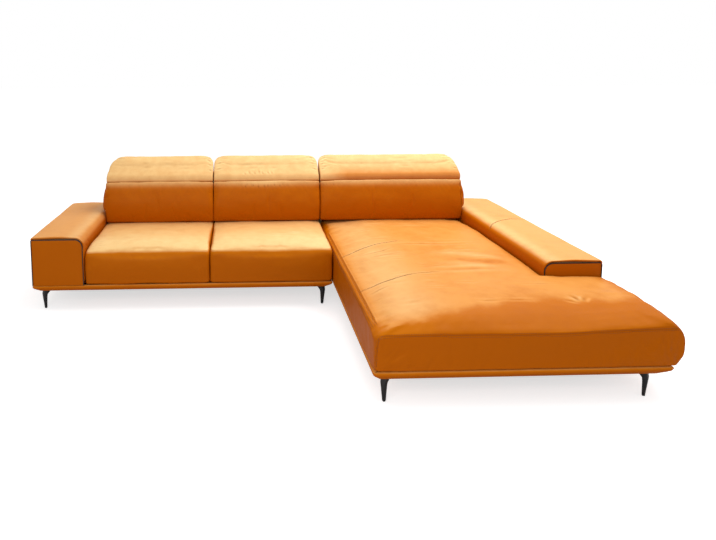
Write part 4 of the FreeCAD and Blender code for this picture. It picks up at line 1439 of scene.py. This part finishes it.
# %% Put a finish on every node of the frame
for entry in frame["record"]["subparts"]:
    node = frame["nodes"][entry["node"]]
    node.data.materials.clear()
    node.data.materials.append(FINISHES[entry["material_slot"]])
print("painted", len(frame["nodes"]), "nodes")

# %% [markdown]
# ## Hanging the pieces on the frame
# Every new piece rides on the body that carries it, stands for the node whose place it takes, and names the
# finish that it shares with the record.

# %% Ride, replace and paint


def dress(thing, body, slot, nodes=(), paint=None):
    """Paint a piece and tell the frame what carries it and which nodes it takes the place of."""
    thing.data.materials.clear()
    thing.data.materials.append(paint or FINISHES[slot])
    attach(thing, body)
    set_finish(thing, slot)
    if nodes:
        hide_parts(*nodes)


print("dress is ready")

# %% Dress every piece
for side, thing in seats.items():
    dress(thing, "root", "leather", ("seat_cover_" + side, "seat_foam_" + side))
dress(long_seat, "root", "leather", ("chaise_cover", "chaise_foam"))
for side in SPANS:
    dress(backs[side], "root", "leather", ("back_cover_" + side, "back_foam_" + side))
    dress(headrests[side], "headrest_" + side, "leather",
          ("headrest_cover_" + side, "headrest_foam_" + side))
for side in ("left", "right"):
    dress(pads[side], "root", "leather", ("arm_pad_" + side,))
    dress(panels[side], "root", "leather", ("arm_front_panel_" + side,))
    dress(sides[side], "root", "leather", ("arm_side_cover_" + side,))
    dress(pipings[side], "root", "piping", ("arm_piping_" + side,))
for section in ("sofa", "chaise"):
    dress(boards[section], "root", "leather", ("plinth_" + section,))
    sheet, end = rears[section]
    dress(sheet, "root", "leather", ("back_skin_" + section,))
    dress(end, "root", "leather", ("back_skin_" + section,))
dress(legs, "root", "black_metal", ("legs",))
dress(chaise_stitches, "root", "piping", paint=SEAM_PAINT)
dress(pad_stitches, "root", "piping", paint=SEAM_PAINT)

# %% [markdown]
# ## Floor, light and camera
# The floor is white to the camera and takes a soft shadow. One broad lamp hangs over the sofa, as a studio's
# light box would, and a weaker one opens the shadows. The camera stands where the photographer stood.

# %% Floor
grid = bmesh.new()
bmesh.ops.create_grid(grid, x_segments=1, y_segments=1, size=40)
floor = piece("floor", grid)


def floor_paint():
    """White to the camera where it is lit, grey where the sofa shades it."""
    paint = Paint("pale_floor")
    paint.finish(Base_Color=(0.8, 0.8, 0.8, 1), Roughness=0.9, Specular_IOR_Level=0.0)
    seen = paint.node("LightPath", {}, {}, out="Is Camera Ray")
    glow = paint.mix(seen, (0.0, 0.0, 0.0, 1.0), (1.0, 1.0, 1.0, 1.0))
    return paint.finish(Emission_Color=glow, Emission_Strength=0.62)


floor.data.materials.append(floor_paint())
print("floor:", floor.data.materials[0].name)

# %% Sky
world = bpy.data.worlds.new("studio")
bpy.context.scene.world = world
world.use_nodes = True
links, nodes = world.node_tree.links, world.node_tree.nodes
sky = nodes["Background"]
ray = nodes.new("ShaderNodeLightPath")


def calculate(operation, *values):
    """A Math node of the sky over sockets and numbers."""
    node = nodes.new("ShaderNodeMath")
    node.operation = operation
    for socket, value in zip(node.inputs, values):
        if isinstance(value, float):
            socket.default_value = value
        else:
            links.new(value, socket)
    return node.outputs[0]


# The sky is white where it is seen, in a mirror too, and half as bright where it only lights.
seen = calculate("MAXIMUM", ray.outputs["Is Camera Ray"], ray.outputs["Is Glossy Ray"])
seen = calculate("MAXIMUM", seen, ray.outputs["Is Transmission Ray"])
links.new(calculate("MULTIPLY_ADD", seen, 0.5, 0.5), sky.inputs["Strength"])
sky.inputs["Color"].default_value = (1, 1, 1, 1)
print("the sky has", len(nodes), "nodes")

# %% Lamps


def lamp(name, place, target, size, power):
    """A rectangular lamp that looks at target."""
    light = bpy.data.lights.new(name, "AREA")
    light.shape = "RECTANGLE"
    light.size, light.size_y = size
    light.energy = power
    thing = placed(name, light)
    thing.location = place
    thing.rotation_euler = (Vector(target) - Vector(place)).to_track_quat("-Z", "Y").to_euler()


lamp("light_box", (1.3, 1.1, 3.2), (0.0, 0.0, 0.4), (4.6, 2.6), 118)
lamp("front_fill", (-1.2, -4.2, 2.2), (0.0, 0.0, 0.4), (3.0, 2.0), 62)

# %% Camera
PHOTO_WIDTH, SHARPNESS, SENSOR = 716, 646.7, 36  # pixels, lens length in pixels, film width in mm
YAW, PITCH, ROLL = -1.98, -7.4, -0.228
lens = bpy.data.cameras.new("camera")
lens.sensor_width, lens.lens = SENSOR, SHARPNESS / PHOTO_WIDTH * SENSOR
lens.shift_x, lens.shift_y = 0.134, -0.168
camera = placed("camera", lens)
camera.location = (-0.348, -3.765, 1.491)
turn = [Matrix.Rotation(math.radians(angle), 4, axis)
        for angle, axis in ((YAW, "Z"), (90 + PITCH, "X"), (ROLL, "Z"))]
camera.rotation_euler = (turn[0] @ turn[1] @ turn[2]).to_euler()
bpy.context.scene.camera = camera
bpy.context.scene.view_settings.view_transform = "Standard"
print("the camera stands at", tuple(round(part, 3) for part in camera.location))

# %% Sizes and the end
for thing in bpy.data.objects:
    if thing.type == "MESH" and "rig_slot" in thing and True:
        print(thing.name, len(thing.data.polygons), "faces")
